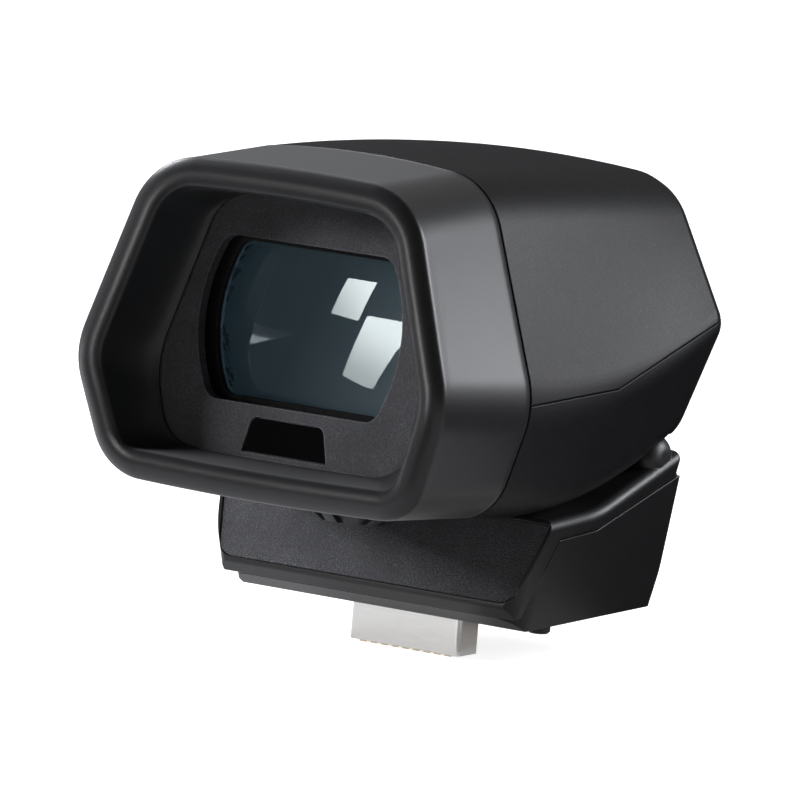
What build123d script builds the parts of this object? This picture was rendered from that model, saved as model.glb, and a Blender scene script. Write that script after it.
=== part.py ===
from build123d import *
import os
from math import cos, pi, radians, sin

# Electronic viewfinder that plugs into the top of a camera.
# Millimetres. X is to the right as the eye looks in, Y runs from the eye towards the
# back of the viewfinder, Z is up. The origin is on the underside, at the plug's centre.

# Where the head sits on the base
eye_to_plug = 42.05        # the lens window stands this far in front of the plug
eye_height = 46.9          # its centre above the underside
head_rake = 4.65           # degrees that the head leans back at rest

# Six-sided outline at the eyecup's rim
rim_y = -11.5
rim_roof_half = 24.2
rim_roof_z = 24.0
rim_crown = 0.9
rim_ridge_half = 34.6
rim_ridge_z = -8.2
rim_floor_half = 28.6
rim_floor_z = -27.2
rim_keel = 0.7

# The same outline at the seam between eyecup and casing
seam_y = 13.0
seam_roof_half = 23.7
seam_roof_z = 26.2
seam_crown = 1.8
seam_ridge_half = 36.4
seam_ridge_z = -7.2
seam_floor_half = 31.6
seam_floor_z = -25.6
seam_keel = 1.6

# At the kink of the casing's parting line
waist_y = 37.6
waist_roof_half = 25.8
waist_roof_z = 27.5
waist_crown = 2.2
waist_ridge_half = 37.2
waist_ridge_z = -4.1
waist_floor_half = 31.4
waist_floor_z = -24.2
waist_keel = 1.0

# At the back of the head
rear_y = 69.5
rear_roof_half = 25.3
rear_roof_z = 28.7
rear_crown = 1.5
rear_ridge_half = 37.8
rear_ridge_z = 7.0
rear_floor_half = 30.6
rear_floor_z = -14.9
rear_keel = 0.6
rear_edge_r = 4.0

# Corner radii of the outlines
roof_r = 12.0
ridge_r = 15.0
waist_ridge_r = 10.0
rear_ridge_r = 5.0
floor_r = 9.0

# Casing
shell_wall = 2.0
parting_gap = 0.2
seam_gap = 0.2

# Eyecup
rubber_wall = 2.6
rim_roll_r = 2.4           # rounded outer edge of the rim
rim_band = 4.4             # from the outer edge to the funnel's wall
mouth_r = 1.3              # rounded edge of the funnel's mouth
rim_tilt = 12.5            # degrees that the lower half of the rim leans back
tilt_z = -9.0              # height at which the rim starts to lean back
bezel_lip = 0.5            # rubber lip over the bezel's edge
lip_depth = 0.6

# Bezel
bezel_t = 2.0
bezel_roof_half = 17.1
bezel_roof_z = 19.9
bezel_ridge_half = 25.9
bezel_ridge_z = -8.8
bezel_floor_half = 21.9
bezel_floor_z = -21.4
bezel_corner_r = 5.0
bezel_bow = 0.4
window_half = 18.65
window_half_height = 12.95
window_side_r = 26.0
window_corner_r = 3.0

# Eye sensor
sensor_top_half = 6.5
sensor_bottom_half = 7.8
sensor_top_z = -14.8
sensor_bottom_z = -20.4
sensor_corner_r = 1.4
sensor_window_t = 1.2
sensor_recess = 0.25
sensor_board_half = 6.0
sensor_board_height = 4.4
sensor_board_t = 0.8
sensor_chip = 1.8
sensor_chip_t = 0.5
sensor_chip_x = 2.6
sensor_ledge = 0.8
sensor_board_set = 0.3
fit = 0.1                  # clearance round fixed inserts

# Frame between rubber and casing
frame_front_t = 2.2
frame_wall = 1.8
spigot_depth = 4.0

# Optics
glass_half = 18.4
glass_half_height = 12.65
glass_side_r = 25.0
glass_corner_r = 3.0
carriage_wall = 1.3
carriage_len = 21.0
carriage_gap = 0.3
lens_travel = 2.0
travel_stop_gap = 0.4
tube_wall = 1.5
tube_end_y = 45.0
tube_corner_r = 2.0
lip_band = 0.5
lip_t = 1.0
front_edge_t = 2.6
front_dome = 2.0           # height of the front lens's dome
front_glass_r = 75.0
spacer_t = 2.4
spacer_band = 1.4
middle_edge_t = 3.0
middle_hollow = 1.4
middle_glass_r = 110.0
rear_edge_t = 2.2
rear_dome = 1.5
rear_glass_r = 95.0
retainer_t = 1.6
foot_width = 6.0
foot_len = 7.0
foot_t = 2.0
foot_y = 38.0
optic_screw_len = 7.0

# Dioptre dial
dial_y = 22.7
dial_r = 7.9
dial_rim = 1.0             # upright part of the dial above its cone
dial_foot_r = 5.4
dial_height = 2.9
dial_top_gap = 0.35
dial_socket = 1.5
dial_seat_gap = 0.02
dial_ribs = 10
rib_width = 2.2
rib_depth = 1.5
rib_turn = -4.7            # degrees from straight ahead to the first rib
dial_range = 100.0         # degrees each way
hub_r = 3.0
hub_gap = 0.1
cam_r = 8.4
cam_t = 4.4
cam_floor_gap = 0.35
pad_r = 5.2
washer_t = 0.3
washer_gap = 0.05
groove_depth = 1.6
groove_mid_r = 4.4
groove_spare = 8.0         # degrees of groove past each stop
groove_points = 13
follower_r = 0.8
follower_bury = 1.1
slot_end_gap = 0.6
groove_gap = 0.25
follower_end_gap = 0.4
dial_screw_r = 1.0
dial_screw_len = 6.0
dial_screw_head_t = 0.9
dial_screw_sink = 0.2

# Display
holder_t = 2.0
panel_half_w = 9.0
panel_half_h = 6.5
panel_t = 1.6
screen_margin = 1.2
driver_edge_inset = 0.8
driver_t = 1.2
socket_half = 3.6          # ribbon sockets on the boards
socket_h = 3.0
socket_t = 1.6
display_post_r = 1.7
display_post_inset = 1.4
display_post_len = 8.0
display_screw_r = 0.8
display_screw_len = 8.5

# Screws in the head
head_screw_r = 0.9
screw_head_share = 1.8     # screw head radius over shank radius
drive_r_share = 0.6
drive_depth_share = 0.6
recess_gap = 0.25
screw_head_t = 1.2
boss_r = 1.9
web_t = 1.6
web_reach = 9.0
upper_boss_x = 24.0
upper_boss_z = 9.5
lower_boss_x = 25.4
lower_boss_z = -14.0
frame_screw_len = 22.0
frame_boss_len = 9.0
column_r = 3.0
column_x = 25.2
column_front_y = 31.0
column_rear_y = 56.0
shell_screw_len = 14.0
shell_screw_bite = 6.0     # length of each shell screw above the parting line
screw_slack = 0.03

# Tilt hinge
hinge_y = 22.5
hinge_z = 25.5
barrel_r = 4.0
barrel_half = 30.6
barrel_end_r = 2.8         # rounded outer end of each barrel
hinge_gap = 0.5            # between barrels and casing
knuckle_half = 11.8
knuckle_r = 3.5
pin_r = 1.5
pin_fit = 0.05
pin_end_wall = 1.6         # blind end of each barrel's bore
friction_washer_t = 0.5
friction_washer_r = 3.2
knuckle_end_gap = 0.1
arm_half = 9.0
arm_t = 2.4
arm_gap = 0.4
arm_rise = 7.6
flange_t = 1.6
flange_depth = 11.0
bracket_screw_left = -1.0
bracket_screw_right = 7.0
bracket_screw_inset = 3.0
bracket_screw_len = 5.0
arm_sweep_drop = 1.5       # how far below the axis the swinging arm needs room
tilt_limit = 70.0          # degrees that the head tilts up
swing_steps = 4
swing_step = 10.0          # degrees between the places where the head's room is cut
swing_gap = 0.4

# Base outline, seen from the side
nose_y = -17.45
nose_z = 4.5
nose_r = 1.0
under_front_y = -10.25
front_top_y = -11.65
front_top_z = 18.4
cheek_bend_y = 3.8
cheek_bend_z = 19.03
cheek_bend_r = 25.0
cheek_rear_y = 27.2
cheek_rear_z = 27.0
back_foot_y = 32.9
side_half = 26.1           # half width of the underside at the plug
side_flare_share = 0.25
side_taper_share = 0.05
nose_corner_r = 3.0
pan_corner_r = 5.0
rear_corner_r = 1.8
cheek_edge_r = 1.5
cradle_gap = 0.7
base_wall = 2.2
plate_rim = 0.7
plate_t = 1.0
plate_sink = 0.15
plate_corner_r = 3.0

# Split between cover and pan
groove_front_y = -14.9
groove_front_z = 2.3
groove_strip = 4.4         # width of the cover's strip along the front
groove_rise_z = 15.1
groove_kink_y = 4.0
groove_kink_z = 15.6
groove_rear_y = 27.1
groove_rear_z = 22.4
groove_gap = 0.25

# Plug
plug_half = 10.3
plug_half_depth = 3.1
plug_drop = 7.2
plug_rise = 7.0
plug_skin = 0.4
plug_corner_r = 0.8
contact_count = 9
contact_pitch = 2.0
contact_w = 1.1
contact_t = 0.35
contact_tip = 0.3
contact_inset = 0.2
board_half_w = 16.0
board_front_y = -8.0
board_rear_y = 8.0
board_t = 1.2
board_screw_r = 0.9
board_screw_len = 5.0
board_post_r = 2.2
board_post_inset = 2.6

# Fasteners of the base
base_screw_r = 1.0
base_post_r = 2.6
base_post_x = 20.6
base_post_front_y = -6.0
base_post_rear_y = 19.0
base_screw_len = 10.0
base_joint_z = 6.0
head_recess = 0.2
foot_pin_r = 1.85
foot_pin_x = 23.3
foot_pin_y = -0.6
foot_pin_drop = 1.5
foot_pin_bury = 1.2
foot_pin_root_r = 1.5
foot_pin_neck = 0.1        # bare root between the base and the pin's shoulder
foot_recess = 0.4          # shallow recess round each pin in the underside
foot_recess_gap = 0.35
foot_pin_chamfer = 0.35

# Captive screw
mount_screw_r = 2.0
mount_screw_y = 14.0
mount_head_r = 3.5
mount_head_t = 2.4
mount_travel = 5.0
mount_travel_gap = 0.1
mount_boss_z = 6.6
mount_boss_r = 4.4
mount_tip_z = 0.5
mount_bore_gap = 0.3
mount_washer_t = 0.8
mount_clip_t = 1.6
mount_clip_r = 3.2
mount_clip_fit = 0.08
clip_seat_gap = 0.05
key_r = 1.5
key_depth = 1.4
access_gap = 0.6
access_wall = 1.2
access_z = 16.0            # lower end of the screwdriver's guide

# Ribbon through the hinge
flex_x = -7.0
flex_half = 2.7
flex_t = 0.3
flex_gap = 0.35
flex_offset = 2.1          # from the hinge's axis
flex_run_z = 11.0          # height of its run over the base board
flex_bend_r = 1.2

overrun = 3.0              # how far cutting shapes run past what they cut

# The head's own frame: its origin is the centre of the lens window
rake = radians(head_rake)
head = Plane(origin=(0, -eye_to_plug, eye_height), x_dir=(1, 0, 0), z_dir=(0, sin(rake), cos(rake)))
head_back = Vector(0, cos(rake), -sin(rake))


def head_point(x, y, z):
    return head.from_local_coords(Vector(x, y, z))


def head_section(y, lean=0, pivot=0):
    """Plane across the head: sketch x to the right, y up. It leans back below the pivot."""
    turn = radians(lean)
    up = Vector(0, -sin(turn), cos(turn))
    start = Vector(0, y, pivot) - up * pivot
    ahead = head.from_local_coords(Vector(0, -cos(turn), -sin(turn))) - head.origin
    return Plane(origin=head.from_local_coords(start), x_dir=(1, 0, 0), z_dir=ahead)


def head_floor(z):
    """Level plane of the head: sketch y runs to the back."""
    return Plane(origin=head_point(0, 0, z), x_dir=(1, 0, 0), z_dir=head.z_dir)


head_side = Plane(origin=head.origin, x_dir=head_back, z_dir=(1, 0, 0))
side = Plane(origin=(0, 0, 0), x_dir=(0, 1, 0), z_dir=(1, 0, 0))
hinge_plane = Plane(origin=(0, hinge_y, hinge_z), x_dir=(0, 1, 0), z_dir=(1, 0, 0))
hinge_axis = Axis((0, hinge_y, hinge_z), (-1, 0, 0))
hinge_in_head = head.to_local_coords(Vector(0, hinge_y, hinge_z))
hinge_axis_y = hinge_in_head.Y
hinge_axis_z = hinge_in_head.Z
os.makedirs("parts", exist_ok=True)


def write(builder, label):
    builder.part.label = label
    export_step(builder.part, f"parts/{label}.step")


def six_sided(plane, sizes, radii, inset=0):
    """Outline of the head at one section: crowned roof, a ridge down each side, bowed floor."""
    roof_half, roof_z, crown, ridge_half, ridge_z, floor_half, floor_z, keel = sizes
    with BuildSketch(plane) as outline:
        with BuildLine():
            ThreePointArc((-roof_half, roof_z), (0, roof_z + crown), (roof_half, roof_z))
            Line((roof_half, roof_z), (ridge_half, ridge_z))
            Line((ridge_half, ridge_z), (floor_half, floor_z))
            ThreePointArc((floor_half, floor_z), (0, floor_z - keel), (-floor_half, floor_z))
            Line((-floor_half, floor_z), (-ridge_half, ridge_z))
            Line((-ridge_half, ridge_z), (-roof_half, roof_z))
        make_face()
        for level, radius in zip((floor_z, ridge_z, roof_z), radii):
            corners = outline.vertices().sort_by(lambda v: abs(v.Y - level))[:2]
            fillet(corners, radius)
        if inset:
            offset(amount=-inset)
    return outline.sketch


rim_sizes = (rim_roof_half, rim_roof_z, rim_crown, rim_ridge_half, rim_ridge_z,
             rim_floor_half, rim_floor_z, rim_keel)
seam_sizes = (seam_roof_half, seam_roof_z, seam_crown, seam_ridge_half, seam_ridge_z,
              seam_floor_half, seam_floor_z, seam_keel)
waist_sizes = (waist_roof_half, waist_roof_z, waist_crown, waist_ridge_half, waist_ridge_z,
               waist_floor_half, waist_floor_z, waist_keel)
rear_sizes = (rear_roof_half, rear_roof_z, rear_crown, rear_ridge_half, rear_ridge_z,
              rear_floor_half, rear_floor_z, rear_keel)
bezel_sizes = (bezel_roof_half, bezel_roof_z, bezel_bow, bezel_ridge_half, bezel_ridge_z,
               bezel_floor_half, bezel_floor_z, bezel_bow)
front_radii = (floor_r, ridge_r, roof_r)
rim_start_y = rim_y + rim_roll_r


def rim_outline(y, inset=0, lean=0):
    return six_sided(head_section(y, lean, tilt_z), rim_sizes, front_radii, inset)


def seam_outline(y, inset=0):
    return six_sided(head_section(y), seam_sizes, front_radii, inset)


def cup_outline(y, inset=0):
    """Outline of the eyecup between its rim and its seam."""
    share = (y - rim_start_y) / (seam_y - rim_start_y)
    sizes = [a + (b - a) * share for a, b in zip(rim_sizes, seam_sizes)]
    return six_sided(head_section(y), sizes, front_radii, inset)


def waist_outline(y, inset=0):
    return six_sided(head_section(y), waist_sizes, (floor_r, waist_ridge_r, roof_r), inset)


def rear_outline(y, inset=0):
    return six_sided(head_section(y), rear_sizes, (floor_r, rear_ridge_r, roof_r), inset)


def bezel_outline(y, inset=0):
    return six_sided(head_section(y), bezel_sizes, (bezel_corner_r, bezel_corner_r, bezel_corner_r), inset)


def barrel_shape(plane, half, half_height, side_r, corner_r, inset=0):
    """Lens outline: flat top and bottom, bulging sides."""
    bulge = side_r - (side_r**2 - half_height**2) ** 0.5
    with BuildSketch(plane) as outline:
        with BuildLine():
            Line((-half + bulge, half_height), (half - bulge, half_height))
            ThreePointArc((half - bulge, half_height), (half, 0), (half - bulge, -half_height))
            Line((half - bulge, -half_height), (-half + bulge, -half_height))
            ThreePointArc((-half + bulge, -half_height), (-half, 0), (-half + bulge, half_height))
        make_face()
        fillet(outline.vertices(), corner_r)
        if inset:
            offset(amount=-inset)
    return outline.sketch


def glass_outline(y, inset=0):
    return barrel_shape(head_section(y), glass_half, glass_half_height, glass_side_r, glass_corner_r, inset)


def rounded_box(plane, half, half_height, corner_r):
    with BuildSketch(plane) as outline:
        RectangleRounded(2 * half, 2 * half_height, corner_r)
    return outline.sketch


def screw(plane, radius, length, head_t):
    """Pan-head screw: its head stands on the plane, its shank runs against the normal."""
    with BuildPart(plane) as fastener:
        Cylinder(radius * screw_head_share, head_t, align=(Align.CENTER, Align.CENTER, Align.MIN))
        Cylinder(radius, length, align=(Align.CENTER, Align.CENTER, Align.MAX))
        with Locations((0, 0, head_t)):
            Cylinder(radius * drive_r_share, head_t * drive_depth_share,
                     align=(Align.CENTER, Align.CENTER, Align.MAX), mode=Mode.SUBTRACT)
    return fastener.part


# Places along the optical axis
frame_front_y = bezel_t
tube_y = frame_front_y + frame_front_t
carriage_y = frame_front_y + lens_travel + travel_stop_gap
carriage_half = glass_half + fit + carriage_wall
carriage_half_height = glass_half_height + fit + carriage_wall
tube_half = carriage_half + carriage_gap
tube_half_height = carriage_half_height + carriage_gap
tube_out = tube_half + tube_wall
tube_out_height = tube_half_height + tube_wall
frame_boss_y = seam_y + spigot_depth + fit
panel_y = tube_end_y + holder_t
driver_y = panel_y + panel_t
driver_rear_y = driver_y + driver_t
front_glass_y = carriage_y + lip_t
spacer_y = front_glass_y + front_edge_t
middle_glass_y = spacer_y + spacer_t
rear_spacer_y = middle_glass_y + middle_edge_t
rear_glass_y = rear_spacer_y + spacer_t
retainer_y = rear_glass_y + rear_edge_t

# Places of screws and bosses in the head
frame_bosses = [(-upper_boss_x, upper_boss_z), (upper_boss_x, upper_boss_z),
                (-lower_boss_x, lower_boss_z), (lower_boss_x, lower_boss_z)]
columns = [(x, y) for x in (-column_x, column_x) for y in (column_front_y, column_rear_y)]
foot_x = tube_out + foot_width / 2
feet = [(-foot_x, foot_y), (foot_x, foot_y)]
bracket_z = hinge_axis_z + arm_rise
bracket_front_y = hinge_axis_y - arm_t / 2 - flange_depth
bracket_screws_y = bracket_front_y + bracket_screw_inset
bracket_screws_at = [(bracket_screw_left, bracket_screws_y), (bracket_screw_right, bracket_screws_y)]
hinge_clear_r = barrel_r + hinge_gap
groove_half = barrel_half + hinge_gap
knuckle_clear_r = knuckle_r + hinge_gap
barrel_start = knuckle_half + friction_washer_t + 2 * knuckle_end_gap
below_head = rim_floor_z - rim_keel - overrun
column_top = roof_r + waist_roof_z + overrun

# Casing: the outside of the head behind the seam
with BuildPart() as casing:
    loft([seam_outline(seam_y), waist_outline(waist_y), rear_outline(rear_y - rear_edge_r)])
    loft([rear_outline(rear_y - rear_edge_r * (1 - sin(radians(turn))), rear_edge_r * (1 - cos(radians(turn))))
          for turn in (0, 30, 60, 90)], ruled=True)

# The room inside the casing
with BuildPart() as room:
    loft([seam_outline(seam_y, shell_wall), waist_outline(waist_y, shell_wall),
          rear_outline(rear_y - rear_edge_r, shell_wall)])
    loft([rear_outline(rear_y - rear_edge_r, shell_wall), rear_outline(rear_y - shell_wall, rear_edge_r)],
         ruled=True)

# Levels round the dial, in the head's frame
with BuildPart() as under_dial:
    add(casing.part)
    with BuildSketch(head_floor(below_head)):
        with Locations((0, dial_y)):
            Circle(dial_r)
    extrude(amount=-below_head, mode=Mode.INTERSECT)
with BuildPart() as over_cam:
    add(room.part)
    with BuildSketch(head_floor(below_head)):
        with Locations((0, dial_y)):
            Circle(cam_r)
    extrude(amount=-below_head, mode=Mode.INTERSECT)
dial_top_z = head.to_local_coords(under_dial.part).bounding_box().min.Z - dial_top_gap
dial_bottom_z = dial_top_z - dial_height
cam_floor = head.to_local_coords(over_cam.part).faces().sort_by(Axis.Z)[0]
pad_z = cam_floor.bounding_box().max.Z + cam_floor_gap
cam_z = pad_z + washer_t + washer_gap
cam_top_z = cam_z + cam_t
hub_end_z = dial_top_z - dial_socket
follower_y = dial_y - groove_mid_r
follower_end_z = cam_top_z - groove_depth + follower_end_gap
cam_rate = lens_travel / dial_range          # millimetres of travel for one degree

# The room with its bosses, columns and the cover over the hinge left solid
with BuildPart() as hollow:
    add(room.part)
    with BuildSketch(head_section(frame_boss_y)):
        for x, z in frame_bosses:
            with Locations((x, z)):
                Circle(boss_r)
            with Locations((x + (web_reach if x > 0 else -web_reach) / 2, z)):
                Rectangle(web_reach, web_t)
    extrude(amount=-frame_boss_len, mode=Mode.SUBTRACT)
    with BuildSketch(head_floor(below_head)):
        with Locations(*columns):
            Circle(column_r)
    extrude(amount=column_top - below_head, mode=Mode.SUBTRACT)
    with BuildSketch(head_floor(below_head)):
        with Locations(*feet):
            Circle(boss_r)
    extrude(amount=-tube_out_height - below_head, mode=Mode.SUBTRACT)
    with BuildSketch(head_floor(below_head)):
        with Locations(*bracket_screws_at):
            Circle(boss_r)
    extrude(amount=bracket_z - below_head, mode=Mode.SUBTRACT)
    with BuildSketch(head_floor(below_head)):
        with Locations((0, dial_y)):
            Circle(pad_r)
    extrude(amount=pad_z - below_head, mode=Mode.SUBTRACT)
    with BuildSketch(hinge_plane):
        Circle(hinge_clear_r + shell_wall)
    extrude(amount=groove_half + shell_wall, both=True, mode=Mode.SUBTRACT)

# Line that parts the casing, seen from the side
parting_end_y = rear_y + overrun
parting_rise_share = (rear_ridge_z - waist_ridge_z) / (rear_y - rear_edge_r - waist_y)
parting_end_z = waist_ridge_z + parting_rise_share * (parting_end_y - waist_y)


def parting_z(y):
    """Height of the parting line at a place along the head."""
    if y < waist_y:
        return seam_ridge_z + (waist_ridge_z - seam_ridge_z) * (y - seam_y) / (waist_y - seam_y)
    return waist_ridge_z + parting_rise_share * (y - waist_y)


def parting_region(up):
    """Everything above the parting line, or below it."""
    limit = 2 * eye_height * (1 if up else -1)
    gap = parting_gap / 2 * (1 if up else -1)
    with BuildSketch(head_side) as region:
        with BuildLine():
            Polyline((rim_y, seam_ridge_z + gap), (seam_y, seam_ridge_z + gap),
                     (waist_y, waist_ridge_z + gap), (parting_end_y, parting_end_z + gap),
                     (parting_end_y, limit), (rim_y, limit), close=True)
        make_face()
    return region.sketch


with BuildPart() as upper_shell:
    add(casing.part)
    add(hollow.part, mode=Mode.SUBTRACT)
    extrude(parting_region(True), amount=2 * rear_ridge_half, both=True, mode=Mode.INTERSECT)
    with BuildSketch(head_section(frame_boss_y)):
        with Locations(*frame_bosses[:2]):
            Circle(head_screw_r + screw_slack)
    extrude(amount=-frame_boss_len, mode=Mode.SUBTRACT)
    for x, y in columns:
        with BuildSketch(head_floor(parting_z(y))):
            with Locations((x, y)):
                Circle(head_screw_r + screw_slack)
        extrude(amount=shell_screw_bite + travel_stop_gap, both=True, mode=Mode.SUBTRACT)
write(upper_shell, "upper_shell")

with BuildPart() as lower_shell:
    add(casing.part)
    add(hollow.part, mode=Mode.SUBTRACT)
    extrude(parting_region(False), amount=2 * rear_ridge_half, both=True, mode=Mode.INTERSECT)
    with BuildSketch(head_section(frame_boss_y)):
        with Locations(*frame_bosses[2:]):
            Circle(head_screw_r + screw_slack)
    extrude(amount=-frame_boss_len, mode=Mode.SUBTRACT)
    for x, y in columns:
        seat_z = parting_z(y) + shell_screw_bite - shell_screw_len
        with BuildSketch(head_floor(seat_z)):
            with Locations((x, y)):
                Circle(head_screw_r + screw_slack)
        extrude(amount=shell_screw_len, mode=Mode.SUBTRACT)
        with BuildSketch(head_floor(seat_z)):
            with Locations((x, y)):
                Circle(head_screw_r * screw_head_share + recess_gap)
        extrude(amount=below_head - seat_z, mode=Mode.SUBTRACT)
    with BuildSketch(head_floor(-tube_out_height)):
        with Locations(*feet):
            Circle(head_screw_r + screw_slack)
    extrude(amount=foot_t - optic_screw_len, mode=Mode.SUBTRACT)
    with BuildSketch(head_floor(bracket_z)):
        with Locations(*bracket_screws_at):
            Circle(head_screw_r + screw_slack)
    extrude(amount=flange_t - bracket_screw_len, mode=Mode.SUBTRACT)
    with BuildSketch(head_floor(pad_z)):
        with Locations((0, dial_y)):
            Circle(hub_r + hub_gap)
    extrude(amount=below_head - pad_z, mode=Mode.SUBTRACT)
    with BuildSketch(hinge_plane):
        Circle(hinge_clear_r)
    extrude(amount=groove_half, both=True, mode=Mode.SUBTRACT)
    with BuildSketch(head_floor(hinge_axis_z)):
        with Locations((0, hinge_axis_y)):
            Rectangle(2 * (arm_half + arm_gap), arm_t + 2 * arm_gap)
        with Locations((flex_x, hinge_axis_y - flex_offset / 2)):
            Rectangle(2 * (flex_half + flex_gap), flex_offset + 2 * (flex_t + flex_gap))
    extrude(amount=hinge_clear_r + shell_wall + overrun, mode=Mode.SUBTRACT)
write(lower_shell, "lower_shell")

with BuildPart() as shell_screws:
    for x, y in columns:
        seat = Plane(origin=head_point(x, y, parting_z(y) + shell_screw_bite - shell_screw_len),
                     x_dir=(1, 0, 0), z_dir=-head.z_dir)
        add(screw(seat, head_screw_r, shell_screw_len, screw_head_t))
write(shell_screws, "shell_screws")


# Eyecup: rolled rim, funnel and skirt
def hood(lean):
    """The whole eyecup with its rim upright, or leaning back."""
    with BuildPart() as shape:
        loft([rim_outline(rim_start_y, 0, lean), seam_outline(seam_y - seam_gap)], ruled=True)
        loft([rim_outline(rim_y + rim_roll_r * (1 - sin(radians(turn))),
                          rim_roll_r * (1 - cos(radians(turn))), lean)
              for turn in (0, 22.5, 45, 67.5, 90)], ruled=True)
        loft([bezel_outline(-lip_depth, bezel_lip), rim_outline(rim_y + mouth_r, rim_band, lean)],
             ruled=True, mode=Mode.SUBTRACT)
        loft([rim_outline(rim_y + mouth_r * (1 - sin(radians(turn))),
                          rim_band - mouth_r * (1 - cos(radians(turn))), lean)
              for turn in (0, 30, 60, 90)], ruled=True, mode=Mode.SUBTRACT)
    return shape.part


with BuildPart() as eyecup:
    add(hood(0))
    with BuildSketch(head_floor(tilt_z)):
        Rectangle(4 * rim_ridge_half, 4 * seam_y)
    extrude(amount=2 * eye_height, mode=Mode.INTERSECT)
with BuildPart() as eyecup_low:
    add(hood(rim_tilt))
    with BuildSketch(head_floor(tilt_z)):
        Rectangle(4 * rim_ridge_half, 4 * seam_y)
    extrude(amount=-2 * eye_height, mode=Mode.INTERSECT)
with eyecup:
    add(eyecup_low.part)
    extrude(bezel_outline(0, -fit), amount=-frame_front_y, mode=Mode.SUBTRACT)
    extrude(bezel_outline(-lip_depth, bezel_lip), amount=-lip_depth, mode=Mode.SUBTRACT)
    loft([cup_outline(frame_front_y, rubber_wall), cup_outline(seam_y, rubber_wall)],
         ruled=True, mode=Mode.SUBTRACT)
write(eyecup, "eyecup")

# Bezel and eye sensor
sensor_mid_z = (sensor_top_z + sensor_bottom_z) / 2


def sensor_outline(y, inset=0):
    with BuildSketch(head_section(y)) as outline:
        with BuildLine():
            Polyline((-sensor_top_half, sensor_top_z), (sensor_top_half, sensor_top_z),
                     (sensor_bottom_half, sensor_bottom_z), (-sensor_bottom_half, sensor_bottom_z), close=True)
        make_face()
        fillet(outline.vertices().sort_by(Axis.Y)[-2:], sensor_corner_r)
        if inset:
            offset(amount=-inset)
    return outline.sketch


with BuildPart() as eyepiece_bezel:
    extrude(bezel_outline(0), amount=-bezel_t)
    extrude(barrel_shape(head_section(0), window_half, window_half_height, window_side_r, window_corner_r),
            amount=-bezel_t, mode=Mode.SUBTRACT)
    extrude(sensor_outline(0, -fit), amount=-sensor_recess - sensor_window_t, mode=Mode.SUBTRACT)
    extrude(sensor_outline(0, sensor_ledge), amount=-bezel_t, mode=Mode.SUBTRACT)
write(eyepiece_bezel, "eyepiece_bezel")

with BuildPart() as sensor_window:
    extrude(sensor_outline(sensor_recess), amount=-sensor_window_t)
write(sensor_window, "sensor_window")

with BuildPart() as sensor_board:
    with BuildSketch(head_section(frame_front_y + sensor_board_set)):
        with Locations((0, sensor_mid_z)):
            Rectangle(2 * sensor_board_half, sensor_board_height)
    extrude(amount=-sensor_board_t)
    with BuildSketch(head_section(frame_front_y + sensor_board_set)):
        with Locations((-sensor_chip_x, sensor_mid_z), (sensor_chip_x, sensor_mid_z)):
            Rectangle(sensor_chip, sensor_chip)
    extrude(amount=sensor_chip_t)
write(sensor_board, "sensor_board")

frame_inset = rubber_wall + fit
spigot_inset = shell_wall + fit
with BuildPart() as eyecup_frame:
    loft([cup_outline(frame_front_y, frame_inset), cup_outline(seam_y, frame_inset)], ruled=True)
    extrude(seam_outline(seam_y, spigot_inset), amount=-spigot_depth)
    loft([cup_outline(tube_y, frame_inset + frame_wall), cup_outline(seam_y, frame_inset + frame_wall)],
         ruled=True, mode=Mode.SUBTRACT)
    extrude(seam_outline(seam_y, spigot_inset + frame_wall), amount=-spigot_depth, mode=Mode.SUBTRACT)
    with BuildSketch(head_section(frame_front_y)):
        with Locations(*frame_bosses):
            Circle(boss_r)
    extrude(amount=-(seam_y + spigot_depth - frame_front_y))
    with BuildSketch(head_section(frame_front_y)):
        with Locations(*frame_bosses):
            Circle(head_screw_r + screw_slack)
    extrude(amount=-(seam_y + spigot_depth - frame_front_y), mode=Mode.SUBTRACT)
    with BuildSketch(head_section(frame_front_y)):
        with Locations(*frame_bosses):
            Circle(head_screw_r * screw_head_share + fit)
    extrude(amount=-screw_head_t, mode=Mode.SUBTRACT)
    extrude(rounded_box(head_section(frame_front_y), tube_half, tube_half_height, tube_corner_r),
            amount=-frame_front_t, mode=Mode.SUBTRACT)
    with BuildSketch(head_section(frame_front_y)):
        with Locations((0, sensor_mid_z)):
            Rectangle(2 * (sensor_board_half + fit), sensor_board_height + 2 * fit)
    extrude(amount=-sensor_board_set - sensor_board_t, mode=Mode.SUBTRACT)
    with BuildSketch(head_floor(below_head)):
        with Locations((0, dial_y)):
            Circle(cam_r + cam_floor_gap)
    extrude(amount=cam_top_z + cam_floor_gap - below_head, mode=Mode.SUBTRACT)
write(eyecup_frame, "eyecup_frame")

with BuildPart() as frame_screws:
    for x, z in frame_bosses:
        seat = Plane(origin=head_point(x, frame_front_y + screw_head_t, z), x_dir=(1, 0, 0), z_dir=-head_back)
        add(screw(seat, head_screw_r, frame_screw_len, screw_head_t))
write(frame_screws, "frame_screws")

# Optics
post_x = tube_half - display_post_inset
post_z = tube_half_height - display_post_inset
display_posts = [(x, z) for x in (-post_x, post_x) for z in (-post_z, post_z)]
slot_half_len = lens_travel + follower_r + slot_end_gap

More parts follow.
